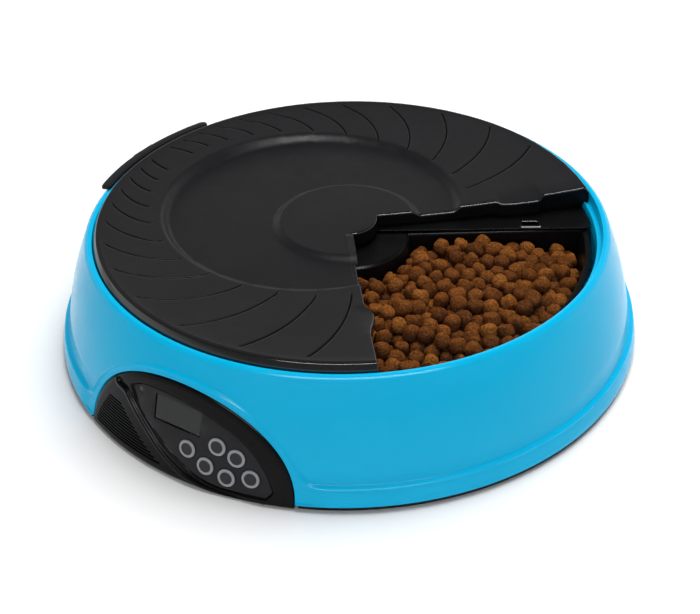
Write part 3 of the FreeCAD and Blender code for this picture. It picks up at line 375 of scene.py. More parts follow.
# The panel's half-oval outline, the level of the crease over the skirt, and (level, radius) up the shell.
PANEL_HALF, PANEL_HIGH = 63.0, 50.3
CREASE = 13.6
WALL = [
    (3.2, 160.2), (9, 158.4), (CREASE, 156.9), (18, 155.6), (24, 154.7), (30, 153.3), (36, 151.7),
    (42, 149.9), (48, 147.9), (54, 145.6), (58, 144.0), (61, 142.7), (63.8, 141.5),
]
SKIRT = [(3.2, 161.2), (6, 160.9), (9, 160.2), (12, 159.2), (CREASE, 158.5)]


def outline_distance(x, z):
    """Distance outside the panel's half-oval outline; negative inside it."""
    share = np.sqrt((x / PANEL_HALF) ** 2 + (z / PANEL_HIGH) ** 2) + 1e-9
    return (share - 1) * np.hypot(x, z) / share


FACE_SLOPE = 0.285


def face_radius(z):
    """The panel face's cone."""
    return 161.5 - FACE_SLOPE * (z - 1)


def shell_radius(x, z, front):
    """The shell's outer radius: the wall over the crease, which climbs over the panel as a soft brow."""
    wall = curve_through(WALL, z)
    skirt = np.where(z < CREASE, curve_through(SKIRT, z), wall)
    out = np.where(front, outline_distance(x, z), 200.0)
    near = smooth(-out, -15, -4.5)
    recess = face_radius(z) - 0.35
    lower = skirt * (1 - near) + recess * near
    height = soft_min(out - 3.9, z - CREASE, 7.0)
    radius = lower + (wall - lower) * smooth(height, -0.6, 0.8)
    ridge = 0.55 + 0.6 * near * smooth(z, 8, 20)
    return radius + ridge * np.exp(-((height + 0.5) / 0.6) ** 2)


def shell_grid():
    """Azimuths that are close together round the panel, and levels up the wall."""
    panel = np.arange(-122, -58, 0.2)
    rest = np.arange(-58, 238, 1.0)
    azimuths = np.radians(np.concatenate((panel, rest)))
    levels = np.concatenate((np.arange(4.0, 60.2, 0.3), np.linspace(60.4, 63.2, 5)))
    return azimuths, levels


def shell_rows(azimuths, levels):
    """The radius and level at each azimuth, row by row: up the wall, over the rim, the well and the back."""
    rows = []
    for r, z in rounded([(158.9, 3.2), (161.2, 3.2, 0.7), (161.0, 4.0)]):
        rows.append((np.full(len(azimuths), r), np.full(len(azimuths), z)))
    for z in levels[1:]:
        radius = np.full(len(azimuths), 150.0)
        for _ in range(3):
            x = radius * np.cos(azimuths)
            radius = shell_radius(x, np.full(len(azimuths), z), np.sin(azimuths) < -0.5)
        rows.append((radius, np.full(len(azimuths), z)))
    well = rounded([
        (141.35, 63.9), (139.5, 65.3, 1.1), (137.6, 64.6, 0.6), (137.6, 58.7, 0.8), (134.9, 58.7, 0.9),
        (134.9, 22.7, 2.0), (32, 22.7, 1.5), (30, 48.6, 1.0), (6.5, 48.6, 0.3), (6.5, 45.4, 0.2),
        (27.8, 45.4, 0.5), (29.8, 20.5, 1.0), (137.1, 20.5, 1.0), (137.1, 56.5, 0.5), (140.1, 56.5, 0.5),
        (140.1, 61.5, 0.5)])
    back_levels = np.linspace(58, 3.2, 74)
    back = np.interp(back_levels, [3.2, CREASE, 30, 58], [158.9, 154.7, 151.3, 142.2])
    for r, z in np.vstack((well, np.column_stack((back, back_levels)))):
        rows.append((np.full(len(azimuths), r), np.full(len(azimuths), z)))
    return rows


def build_shell():
    """The base shell, with the panel's opening cut along its outline."""
    azimuths, levels = shell_grid()
    rows = shell_rows(azimuths, levels)
    count = len(azimuths)
    verts = np.vstack([np.column_stack((r * np.cos(azimuths), r * np.sin(azimuths), z)) for r, z in rows])
    faces = np.array(grid_faces(len(rows), count, True))
    middle = verts[faces].mean(axis=1)
    share = np.hypot(middle[:, 0] / PANEL_HALF, middle[:, 2] / PANEL_HIGH)
    opened = (share < 1) & (middle[:, 1] < -100) & (np.hypot(middle[:, 0], middle[:, 1]) > 139)
    border = np.intersect1d(faces[opened].ravel(), faces[~opened].ravel())
    x, y, z = verts[border].T
    on = np.hypot(x / PANEL_HALF, z / PANEL_HIGH)
    low = z < 5
    side = PANEL_HALF * np.sqrt(np.maximum(1 - (z / PANEL_HIGH) ** 2, 0)) * np.sign(x)
    radius = np.hypot(x, y)
    new_x = np.where(low, side, x / on)
    new_z = np.where(low, z, z / on)
    outside = radius > curve_through(WALL, z) - 1.2
    wall = shell_radius(new_x, new_z, np.full(len(x), True))
    radius = np.where(outside, wall, radius)
    verts[border] = np.column_stack((new_x, -np.sqrt(np.maximum(radius**2 - new_x**2, 1)), new_z))
    made = new_object("outer_shell_wall", verts, faces[~opened])
    return turn_back(made, on_outer_oval, ((0.16, 0.12), (0.14, 0.35), (0.0, 1.9)), 50)


def on_outer_oval(at):
    """True for a point of the panel opening's outline on the wall's outer side."""
    on_oval = abs(math.hypot(at.x / PANEL_HALF, at.z / PANEL_HIGH) - 1) < 0.004 and at.y < -100
    return on_oval and math.hypot(at.x, at.y) > curve_through(WALL, at.z) - 1.3


def turn_back(made, on_rim, steps, sharp):
    """Turns the open edges on a rim back into the wall, by (towards the panel's middle, deeper) steps."""
    work = bmesh.new()
    work.from_mesh(made.data)
    edges = [edge for edge in work.edges if edge.is_boundary and all(on_rim(v.co / MM) for v in edge.verts)]
    for towards, deeper in steps:
        added = bmesh.ops.extrude_edge_only(work, edges=edges)["geom"]
        edges = [g for g in added if isinstance(g, bmesh.types.BMEdge) and g.is_boundary]
        for vert in (g for g in added if isinstance(g, bmesh.types.BMVert)):
            x, y, z = vert.co / MM
            radial = Vector((x, y, 0)).normalized()
            centre = Vector((-x / PANEL_HALF**2, 0, -z / PANEL_HIGH**2)).normalized()
            vert.co += (centre * towards - radial * deeper) * MM
    bmesh.ops.recalc_face_normals(work, faces=work.faces)
    work.to_mesh(made.data)
    work.free()
    made.data.shade_smooth()
    made.data.set_sharp_from_angle(angle=math.radians(sharp))
    return made


shell = build_shell()


def rounded_block(name, low, high, radius):
    """A box with rounded edges, between two corners."""
    work = bmesh.new()
    bmesh.ops.create_cube(work, size=1)
    size = Vector(high) - Vector(low)
    for vert in work.verts:
        vert.co = Vector([low[k] + (vert.co[k] + 0.5) * size[k] for k in range(3)])
    bmesh.ops.bevel(work, geom=work.edges, offset=radius, segments=3, affect="EDGES", profile=0.5)
    mesh = bpy.data.meshes.new(name)
    for vert in work.verts:
        vert.co *= MM
    work.to_mesh(mesh)
    work.free()
    mesh.shade_smooth()
    mesh.set_sharp_from_angle(angle=math.radians(35))
    return linked(name, mesh)


ears = [rounded_block("latch_ear_%d" % n, (-155.9, low, 42.5), (-147.4, low + 3, 51.5), 1.2)
        for n, low in ((1, 8.9), (2, -11.9))]
for ear in ears:
    ear.data.materials.append(SHELL)
shell.data.materials.append(SHELL)
finish_piece(joined("outer_shell_wall", [shell, *ears]), SHELL, "housing", "shell_blue", "outer_shell")

# ---------------------------------------------------------------- control panel

LEAN = math.atan(FACE_SLOPE)
# The label field's corners on the panel's face, as across and up, each with the radius of the arc after it.
LEAF = [
    (-30.5, 36.5), (-25, 28.2, 200), (9.5, 7.8, 60), (30, 4.4), (49.5, 4.4), (51.8, 7.5, 45), (24, 35.2, 76),
    (-24, 39.8),
]
# Where pieces sit on the face: the turn from the panel's middle, in degrees, and the level.
BUTTONS = {
    "button_upper_left": (2.5, 18.7), "button_upper_middle": (8.5, 24.7), "button_upper_right": (12.3, 21.4),
    "button_lower_left": (6.4, 13.2), "button_lower_middle": (10.6, 10.4), "button_lower_right": (15.1, 12.6),
}
WINDOW_AT, LAMP_AT = (-0.3, 33.2), (-9.6, 37.2)
KEY_HOLE, LAMP_HOLE, WINDOW_HALF = 5.25, 1.6, (14.3, 6.6)
# The groove beside the label field, as across and up.
GROOVE_LINE = [(-41, 34.6), (-36.5, 34.2), (-31.5, 31.2), (-25.5, 26.6), (-16.5, 20.2), (-8.6, 14.6),
               (0, 10.0), (8.5, 6.6), (19, 4.3), (31, 2.9), (46, 2.4)]


def leaf_outline():
    """The leaf-shaped label field: straight edges, or arcs that bulge away from the field."""
    points = []
    for here, after in zip(LEAF, LEAF[1:] + LEAF[:1]):
        start, end = np.array(here[:2], float), np.array(after[:2], float)
        radius = here[2] if len(here) > 2 else 0
        if not radius:
            points.append(start)
            continue
        half = np.linalg.norm(end - start) / 2
        along = (end - start) / (2 * half)
        side = np.array([along[1], -along[0]])
        sag_centre = (start + end) / 2 - side * math.sqrt(radius**2 - half**2)
        reach = math.asin(half / radius)
        for step in range(16):
            angle = -reach + 2 * reach * step / 16
            points.append(sag_centre + side * radius * math.cos(angle) + along * radius * math.sin(angle))
    return np.array(points)


LEAF_LINE = leaf_outline()


def grille_rows():
    """The level and both ends of each slot in the speaker grille."""
    rows = []
    for number in range(13):
        level = 5.2 + 1.5 * number
        share = (level - 5.2) / 18
        rows.append((level, -57.2 + 9.5 * share**1.4, -9 - 29 * share**0.85))
    return rows


def on_face(turn, level):
    """The placement of a piece on the panel's face: local Z points straight out and local X to the right."""
    azimuth = math.radians(turn - 90)
    outward = Vector((math.cos(azimuth) * math.cos(LEAN), math.sin(azimuth) * math.cos(LEAN), math.sin(LEAN)))
    across = Vector((-math.sin(azimuth), math.cos(azimuth), 0))
    up = outward.cross(across)
    radius = face_radius(level)
    foot = Vector((radius * math.cos(azimuth), radius * math.sin(azimuth), level))
    turned = Matrix((across, up, outward)).transposed().to_4x4()
    return Matrix.Translation(foot * MM) @ turned


# The bezel's gap to the opening, the fillet of its edge and the level of its foot.
BEZEL_INSET, BEZEL_FILLET, BEZEL_FOOT = 0.3, 3.2, 0.95


def bezel_depth(x, z):
    """How far the bezel's surface lies under the panel's face."""
    within = np.minimum(-outline_distance(x, z) - BEZEL_INSET, z - BEZEL_FOOT)
    fillet = np.clip(BEZEL_FILLET - within, 0, BEZEL_FILLET)
    depth = (BEZEL_FILLET - np.sqrt(BEZEL_FILLET**2 - fillet**2)) * 0.42
    leaf = line_distance(np.vstack((LEAF_LINE, LEAF_LINE[:1])), x, z)
    leaf = np.where(inside(LEAF_LINE, x, z), -leaf, leaf)
    depth = depth + (1.45 - depth) * smooth(-leaf, -1.3, -0.15)
    line = np.column_stack((np.linspace(-41, 46, 60), curve_through(GROOVE_LINE, np.linspace(-41, 46, 60))))
    beside = line_distance(line, x, z)
    fading = 1 - smooth(x, 30, 45)
    depth = depth + np.where(leaf > 0.2, 1.4 * fading * (1 - smooth(beside, 0.9, 1.8)), 0)
    upper = z > np.interp(x, line[:, 0], line[:, 1])
    depth = depth - np.where(upper | (leaf < 0.5), 0, 0.4 * np.exp(-((beside - 2.7) / 0.8) ** 2))
    for level, left, right in grille_rows():
        along = smooth(x, left - 0.5, left) * (1 - smooth(x, right, right + 0.5))
        depth = depth + 1.7 * along * (1 - smooth(np.abs(z - level), 0.3, 0.44))
    return depth


def panel_grid():
    """Levels that are close together at the foot and at the grille, and places across."""
    levels = list(np.arange(0.9, 4.6, 0.2))
    for level, _, _ in grille_rows():
        levels += [level + step for step in (-0.48, -0.4, -0.31, 0, 0.31, 0.4, 0.48, 0.75)]
    levels += list(np.arange(24.3, 50.6, 0.35))
    across = np.arange(-63.6, 63.7, 0.35)
    return np.array(levels), across


def on_bezel_rim(at):
    """True for a point of the bezel's outer edge."""
    return abs(outline_distance(at.x, at.z)) < 1.0 or at.z < 1.2


def build_bezel():
    """The panel's face with its holes, label recess, groove and grille."""
    levels, across = panel_grid()
    x, z = (a.ravel() for a in np.meshgrid(across, levels))
    faces = np.array(grid_faces(len(levels), len(across)))
    edge = -BEZEL_INSET
    mid_x, mid_z = x[faces].mean(axis=1), z[faces].mean(axis=1)
    kept = outline_distance(mid_x, mid_z) < edge
    for turn, level in BUTTONS.values():
        at = on_face(turn, level).translation / MM
        kept &= np.hypot(mid_x - at.x, (mid_z - at.z) / math.cos(LEAN)) > KEY_HOLE
    at = on_face(*WINDOW_AT).translation / MM
    kept &= ~((np.abs(mid_x - at.x) < WINDOW_HALF[0]) & (np.abs(mid_z - at.z) < WINDOW_HALF[1]))
    at = on_face(*LAMP_AT).translation / MM
    kept &= np.hypot(mid_x - at.x, mid_z - at.z) > LAMP_HOLE
    off = outline_distance(x, z)
    border = np.intersect1d(faces[kept].ravel(), faces[~kept].ravel())
    border = border[np.abs(off[border]) < 1.2]
    for _ in range(4):
        share = outline_distance(x[border], z[border]) - edge
        reach = np.hypot(x[border], z[border])
        x[border] *= 1 - share / reach
        z[border] = np.where(z[border] > 1.0, z[border] * (1 - share / reach), z[border])
    points = np.column_stack((x, -np.sqrt(face_radius(z)**2 - x**2), z))
    depth = bezel_depth(x, z)
    radial = points * [1, 1, 0]
    radial /= np.linalg.norm(radial, axis=1)[:, None]
    normal = radial * math.cos(LEAN) + np.array([0, 0, math.sin(LEAN)])
    points = points - normal * depth[:, None]
    made = new_object("panel_bezel_face", points, faces[kept])
    return turn_back(made, on_bezel_rim, ((0, 0.5), (0, 2.4)), 60)


finish_piece(build_bezel(), PANEL, "housing", "panel_black", "panel_bezel")


def build_button(name, turn, level):
    """A round key with a pale raised ring round a dark, slightly dished centre."""
    profile = rounded([
        (0.01, -0.42), (2.2, -0.4), (3.15, -0.34), (3.3, -0.22, 0.08), (4.35, -0.2, 0.3), (4.6, -0.7, 0.3),
        (4.6, -3.9), (0.01, -3.9)], steps=4)
    made = lathe(name + "_cap", profile, 72)
    ring = []
    for polygon in made.data.polygons:
        reach = math.hypot(polygon.center.x, polygon.center.y) / MM
        ring.append(1 if 3.2 < reach and polygon.center.z / MM > -0.8 else 0)
    made.data.materials.append(KEY)
    made.data.materials.append(RING)
    made.data.polygons.foreach_set("material_index", ring)
    face_outward(made)
    made.matrix_world = on_face(turn, level)
    return made


for button, (turn, level) in BUTTONS.items():
    finish_piece(build_button(button, turn, level), KEY, button, "button_grey", button)

# ---------------------------------------------------------------- food tray

# The azimuths of the divider walls.
DIVIDERS = [33.5 + 90 * k for k in range(4)]


def tray_profile():
    """The tray's closed section as (radius, level): bowl, rim and hub."""
    return rounded([
        (35.0, 23.5), (126.0, 23.5, 4.0), (131.2, 51.2, 1.0), (132.4, 51.2, 0.5), (132.4, 53.2, 0.9),
        (129.2, 53.2, 1.0), (125.5, 31.5, 6.0), (120.0, 25.5, 5.0), (41.0, 25.5, 5.0), (36.0, 30.5, 3.0),
        (34.0, 51.7, 1.6), (32.5, 53.2, 1.0), (0.01, 53.2), (0.01, 49.3), (8.0, 49.3, 0.3), (8.0, 51.2, 0.3),
        (32.0, 51.2, 0.5)], closed=True, steps=5)


def build_divider(angle):
    """One divider wall with a rounded top, from the hub to the bowl's wall."""
    foot, bowl_foot, bowl_lean = 24.6, 124.5, 0.2
    across = [(-1.5, foot), (-1.5, 51.4), (-1.3, 52.4), (-0.8, 53.0), (0, 53.2), (0.8, 53.0), (1.3, 52.4),
              (1.5, 51.4), (1.5, foot)]
    reaches = (33.5, 60, 90, 122, 129.8)
    sections = [(min(reach, bowl_foot + (z - foot) * bowl_lean), y, z)
                for reach in reaches for y, z in across]
    made = new_object("divider", sections, grid_faces(len(reaches), len(across)), 50)
    made.data.transform(Matrix.Rotation(math.radians(angle), 4, "Z"))
    return face_outward(made)


profile = tray_profile()
bowl = face_outward(lathe("tray_bowl", np.vstack((profile, profile[:1])), 300, sharp=45))
tray = joined("tray_bowl", [bowl] + [build_divider(angle) for angle in DIVIDERS])
finish_piece(tray, TRAY, "tray", "tray_black", "food_tray")

# ---------------------------------------------------------------- lid

# The azimuths of the feeding opening's two edges, and the radius at which they meet the centre.
OPEN_HIGH, OPEN_LOW = 41.2, 308.2
APEX = 16.5
# The recess: how far its middle lies towards the latch, and its radius. Round it the lid rises by radius.
RECESS_AT, RECESS_RADIUS = 24.0, 81.0
ANNULUS = [(0, 64.0), (55, 64.0), (67, 64.05), (85.6, 64.75), (111, 66.3), (122, 67.2), (130, 67.95),
           (134, 68.5)]
# Each pair of grooves: turn from the latch at the lid's edge and at the inner end, and that end's radius.
GROOVES = [
    (4, 5.7, 117), (9, 11.8, 116.5), (14.5, 18.3, 115), (20.5, 26.5, 111.5), (27.5, 35.5, 107.5),
    (36, 46, 102.5), (46, 57.5, 96.5), (57, 70, 90.5), (70, 83, 85), (85, 96.5, 80.5), (100, 110.5, 77),
    (114.5, 124, 74.5),
]
# The lid's materials, by slot.
EDGE_SLOT, GROOVE_SHADE_SLOT, FLANGE_SLOT = 1, 2, 3
LID_MATERIALS = (LID, GLOSS, GROOVE_SHADE, TRAY)


def groove_turn(outer, inner, reach, radius):
    """A groove's turn from the latch at each radius; it bows towards the opening."""
    middle = outer * 0.36 + inner * 0.64
    share = np.clip((radius - reach) / (129.5 - reach), 0, 1.08)
    bowed = inner * (1 - share) * (1 - 2 * share) + middle * 4 * share * (1 - share)
    return bowed + outer * share * (2 * share - 1)


def groove_lines():
    """(side of the latch, outer turn, inner turn, inner reach) of each groove, by rising azimuth."""
    return [(-1, *groove) for groove in reversed(GROOVES)] + [(1, *groove) for groove in GROOVES]


def lid_level(radius, azimuth):
    """The lid's top surface: a ring round an off-centre recess with soft walls, and a low centre disc."""
    ring = curve_through(ANNULUS, radius)
    x, y = radius * np.cos(np.radians(azimuth)), radius * np.sin(np.radians(azimuth))
    off = np.hypot(x + RECESS_AT, y - 1.2) - RECESS_RADIUS
    floor = 60.8 + 0.12 * smooth(radius, 41, 80)
    level = floor + (ring - floor) * smooth(off, -2.6, 2.6)
    near_cut = smooth(radius, 58.5, 67.5)
    level = np.where(off > 6, 60.8 + (ring - 60.8) * near_cut, level)
    disc = 63.75 - 0.25 * smooth(radius, 0, 34)
    return level + (disc - level) * (1 - smooth(radius, 36.0, 41.5))


LINES = groove_lines()
GROOVE_STEPS = np.array([-1.5, -0.78, -0.56, -0.28, 0, 0.28, 0.56, 0.78, 1.5]) / 110 * 57.3


def lid_columns(radius):
    """The azimuth of each column at one radius, and how deep each column is cut there."""
    azimuths, depths = [OPEN_HIGH], [0.0]
    last = OPEN_HIGH
    for side, outer, inner, reach in LINES:
        centre = 180 + side * float(groove_turn(outer, inner, reach, max(radius, reach - 3)))
        start = centre + GROOVE_STEPS[0]
        azimuths += list(last + (start - last) * np.array([0.25, 0.5, 0.75]))
        depths += [0.0] * 3
        fade = float(smooth(radius, reach - 2.5, reach + 0.5) * (1 - smooth(radius, 128.5, 131.0)))
        azimuths += list(centre + GROOVE_STEPS)
        depths += [fade * d for d in (0, 0, 0.2, 0.5, 0.62, 0.5, 0.2, 0, 0)]
        last = centre + GROOVE_STEPS[-1]
    azimuths += list(last + (OPEN_LOW - last) * np.array([0.25, 0.5, 0.75, 1.0]))
    depths += [0.0] * 4
    return np.array(azimuths), np.array(depths)


# How far each edge of the opening swells towards it, by radius.
UPPER_SWELL = [(84, 0), (86.5, 1.6), (97, 2.7), (107.4, 2.9), (110.8, 0)]
LOWER_SWELL = [(84.6, 0), (87.5, 2.3), (90.5, 3.8), (98, 2.7), (104.8, 0.9), (110, 0)]
# The roll of an edge as (reach, drop).
EDGE_ROLL = [(0.0, 0.0), (0.3, 0.05), (0.55, 0.18), (0.78, 0.4), (0.92, 0.68), (1.0, 1.0)]
# How many faces at each end of a row make its roll and flange, and how many of them the flange.
EDGE_FACES = len(EDGE_ROLL) + 2
FLANGE_FACES = 3


def lid_row(radius, level_drop=0.0, out=None):
    """One ring of the lid's top at a radius, with the rolled edges and flanges at both cuts."""
    azimuths, depths = lid_columns(radius)
    at = radius if out is None else out
    levels = lid_level(np.full(len(azimuths), min(radius, 133.6)), azimuths) - depths - level_drop
    cuts = []
    for edge, side, swell in ((OPEN_HIGH, 1, UPPER_SWELL), (OPEN_LOW, -1, LOWER_SWELL)):
        bulge = float(curve_through(swell, radius))
        along = side * (azimuths - edge) * math.pi / 180 * at
        near = 1 - smooth(along, 0, 9)
        azimuths = azimuths - side * near * np.degrees(bulge / at)
        levels = levels - 0.5 * bulge * (1 - smooth(along, -1, 7.5))
        cuts.append(edge - side * math.degrees(bulge / at))
    points = [(at * math.cos(math.radians(a)), at * math.sin(math.radians(a)), z)
              for a, z in zip(azimuths, levels)]
    bottom = 55.4 if at < 134.2 else 59.2
    ends = []
    upper_end, lower_end = (cuts[0], 1, levels[0], bottom), (cuts[1], -1, levels[-1], max(bottom, 58.6))
    for cut, side, level, foot in (upper_end, lower_end):
        direction = np.array([math.cos(math.radians(cut)), math.sin(math.radians(cut))])
        away = np.array([direction[1], -direction[0]]) * side
        extra = []
        for offset, drop in EDGE_ROLL[1:]:
            place = direction * at + away * (offset - 1.0)
            extra.append((*place, level - drop))
        for share in (0.25, 0.6, 1.0):
            extra.append((*(direction * at), (level - 1.0) * (1 - share) + min(foot, level - 1.2) * share))
        inner = direction * at - away * 1.0
        ends.append((inner, extra))
    points[0] = (*ends[0][0], levels[0])
    points[-1] = (*ends[1][0], levels[-1])
    return list(reversed(ends[0][1])) + points + ends[1][1]


def lid_ring():
    """The lid outside its centre: vertices, faces and each face's material slot."""
    radii = np.concatenate((np.arange(APEX, 36, 1.0), np.arange(36, 42, 0.5), np.arange(42, 56, 1.0),
                            np.arange(56, 133, 0.75)))
    rows = [lid_row(r) for r in radii]
    side = rounded([(133.0, 0.0), (135.1, 0.1, 0.8), (136.9, 2.9, 1.0), (137.3, 9.3, 0.3), (137.1, 9.6)])
    rows += [lid_row(133.4, drop, out) for out, drop in side]
    columns = len(rows[0])
    slots = np.zeros((len(rows) - 1, columns - 1), int)
    slots[len(radii):] = EDGE_SLOT
    slots[:, :EDGE_FACES] = EDGE_SLOT
    slots[:, -EDGE_FACES:] = EDGE_SLOT
    slots[:, :FLANGE_FACES] = FLANGE_SLOT
    slots[:, -FLANGE_FACES:] = FLANGE_SLOT
    for row, radius in enumerate(radii):
        deep = lid_columns(radius)[1]
        cut_faces = np.minimum(deep[:-1], deep[1:]) > 0.12
        # Faces deep in a groove take the painted groove shade.
        slots[row, EDGE_FACES:-EDGE_FACES][cut_faces] = GROOVE_SHADE_SLOT
    return np.vstack([np.array(row) for row in rows]), grid_faces(len(rows), columns), slots.ravel()


def lid_hub():
    """The lid's round centre, whose rim is rolled and flanged where it stands in the opening."""
    shared = lid_columns(APEX)[0]
    degrees = np.concatenate((shared, np.arange(OPEN_LOW + 3, OPEN_HIGH + 360, 3.0)))
    azimuths = np.radians(degrees)
    in_cut = np.arange(len(degrees)) >= len(shared)
    top = lid_level(np.full(len(degrees), APEX), degrees)
    rows = []
    for radius in (0, 4, 8, 12, APEX - 1):
        level = lid_level(np.full(len(degrees), float(radius)), degrees) if radius < APEX - 1 else top
        rows.append(np.column_stack((radius * np.cos(azimuths), radius * np.sin(azimuths), level)))
    flat = np.column_stack((APEX * np.cos(azimuths), APEX * np.sin(azimuths), top))
    for offset, drop in EDGE_ROLL[1:] + [(1.0, 3.0), (1.0, 6.0), (1.0, 8.2)]:
        reach = APEX - 1 + offset
        rolled = np.column_stack((reach * np.cos(azimuths), reach * np.sin(azimuths), top - drop))
        rows.append(np.where(in_cut[:, None], rolled, flat))
    slots = np.zeros((len(rows) - 1, len(degrees)), int)
    slots[4:, in_cut] = EDGE_SLOT
    slots[-FLANGE_FACES:, in_cut] = FLANGE_SLOT
    return np.vstack(rows), grid_faces(len(rows), len(degrees), True), slots.ravel()


def build_lid():
    """The whole lid, as one sheet with a thickness."""
    ring, ring_faces, ring_slots = lid_ring()
    hub, hub_faces, hub_slots = lid_hub()
    faces = upward(ring_faces + [tuple(k + len(ring) for k in face) for face in hub_faces])
    slots = np.concatenate((ring_slots, hub_slots))
    made = new_object("lid_cover_top", np.vstack((ring, hub)), faces, 50, slots)
    for material in LID_MATERIALS:
        made.data.materials.append(material)
    modifier(made, "SOLIDIFY", thickness=1.7 * MM, offset=-1.0, use_rim=True)
    return made


finish_piece(build_lid(), LID, "lid", "lid_black", "lid_cover")

# The azimuths of the guard's free edge and of its other edge, its top, its reach, its greatest width and the
# radius of its outer corner.
GUARD_FIRST, GUARD_LAST = math.radians(32.1), math.radians(46.0)
GUARD_TOP, GUARD_REACH, GUARD_WIDE, GUARD_CORNER = 55.2, 134.3, 24.0, 4.0
# The slot's middle and half sizes, along and across the plate, and its raised rim.
SLOT_AT, SLOT_HALF = (101, 4.3), (4.6, 2.0)
SLOT_RIM_HIGH, SLOT_RIM_WIDE = 0.8, 1.7


def off_slot(along, across):
    """How far a place of the guard lies outside its slot."""
    return np.maximum(np.abs(along - SLOT_AT[0]) - SLOT_HALF[0], np.abs(across - SLOT_AT[1]) - SLOT_HALF[1])


def guard_point(reach, across):
    """A point of the guard's top, as the distance along its free edge, from that edge, and the level."""
    corner = min(max(0.0, (reach - GUARD_REACH) / GUARD_CORNER + 1), 1)
    inner = across + GUARD_CORNER * (1 - math.sqrt(1 - corner**2)) * max(0, 1 - across / 8)
    wide = reach * math.tan(GUARD_LAST - GUARD_FIRST)
    if wide < GUARD_WIDE:
        inner = min(inner, max(wide, 1.0) * (0.2 + 0.8 * across / GUARD_WIDE))
    raised = SLOT_RIM_HIGH * float(smooth(-off_slot(reach, inner), -1.6, -1.1))
    drop = 0.12 * (1 - min(1, inner / 0.3)) ** 2
    return min(reach, math.sqrt(GUARD_REACH**2 - inner**2)), inner, GUARD_TOP + raised - drop


def build_guard():
    """The flat plate under the opening's edge, with a rounded outer corner and one slot with a raised rim."""
    reaches = np.concatenate((np.linspace(15.5, 94, 30), np.arange(94.5, 108, 0.5),
                              np.linspace(108.6, GUARD_REACH, 24)))
    across = np.concatenate((np.linspace(0, 0.8, 4), np.arange(1.2, 9, 0.4),
                             np.linspace(9.4, GUARD_WIDE, 12)))
    along, beside, level = np.array([guard_point(reach, w) for reach in reaches for w in across]).T
    edge = np.array([math.cos(GUARD_FIRST), math.sin(GUARD_FIRST)])
    normal = np.array([-edge[1], edge[0]])
    verts = np.column_stack((along[:, None] * edge + beside[:, None] * normal, level))
    faces = np.array(upward(grid_faces(len(reaches), len(across))))
    outside = off_slot(along[faces].mean(axis=1), beside[faces].mean(axis=1))
    kept = outside > 0
    slots = (outside[kept] < SLOT_RIM_WIDE).astype(int)
    made = new_object("lid_guard_plate", verts, faces[kept], 60, slots)
    made.data.materials.append(TRAY)
    made.data.materials.append(GLOSS)
    modifier(made, "SOLIDIFY", thickness=1.3 * MM, offset=-1.0, use_rim=True)
    return made


finish_piece(build_guard(), TRAY, "lid", "lid_black", "lid_guard")

# ---------------------------------------------------------------- latch

# The strip's turn to each side, in degrees, the turn from which its ends are rounded, and the radius and level
# of its section's middle.
STRIP_END, STRIP_ROUNDED = 19.5, 17.9
STRIP_MIDDLE = np.array([140.7, 66.5])


def capped_tube(name, sections):
    """A closed mesh through sections of equally many points."""
    count = len(sections[0])
    faces = grid_faces(len(sections), count, True)
    faces += [tuple(range(count)), tuple(range((len(sections) - 1) * count, len(sections) * count))]
    return face_outward(new_object(name, np.vstack(sections), faces, 50))


def latch_strip():
    """The curved strip over the lid's rim, with rounded ends."""
    outline = rounded([(137.8, 65.7, 0.4), (143.5, 65.7, 0.8), (143.5, 67.4, 0.8), (137.8, 67.4, 0.8)],
                      closed=True, steps=4)
    low_end = np.linspace(-STRIP_END, -STRIP_ROUNDED, 8)
    sections = []
    for turn in np.concatenate((low_end, np.linspace(-17, 17, 40), -low_end[::-1])):
        end = max(0.0, (abs(turn) - STRIP_ROUNDED) / (STRIP_END - STRIP_ROUNDED))
        pinch = max(math.sqrt(max(0.0, 1 - end**2)), 0.05)
        r, z = (STRIP_MIDDLE + (outline - STRIP_MIDDLE) * [0.3 + 0.7 * pinch, 0.55 + 0.45 * pinch]).T
        angle = math.radians(180 + turn)
        sections.append(np.column_stack((r * math.cos(angle), r * math.sin(angle), z)))
    return capped_tube("latch_strip", sections)


def latch_arm():
    """The arm that hangs from the strip, with its side edges eased."""
    outline = rounded([
        (-142.4, 65.8), (-142.4, 67.0), (-143.8, 67.0, 0.8), (-148.6, 62.0, 3.0), (-155.3, 50.5, 4.0),
        (-155.3, 45.2, 2.4), (-149.6, 44.2, 2.2), (-149.7, 51.0, 2.5), (-144.2, 63.6, 2.5)], closed=True)
    inward = outline.mean(axis=0) - outline
    inward /= np.linalg.norm(inward, axis=1)[:, None]
    sections = []
    for y, shrink in ((-8.4, 0.5), (-8.0, 0.15), (-7.4, 0), (0, 0), (7.4, 0), (8.0, 0.15), (8.4, 0.5)):
        x, z = (outline + inward * shrink).T
        sections.append(np.column_stack((x, np.full(len(x), y), z)))
    return capped_tube("latch_arm", sections)


latch = joined("lid_latch_clip", [latch_strip(), latch_arm()])
finish_piece(latch, LATCH, "latch", "latch_black", "lid_latch")

# ---------------------------------------------------------------- dry food


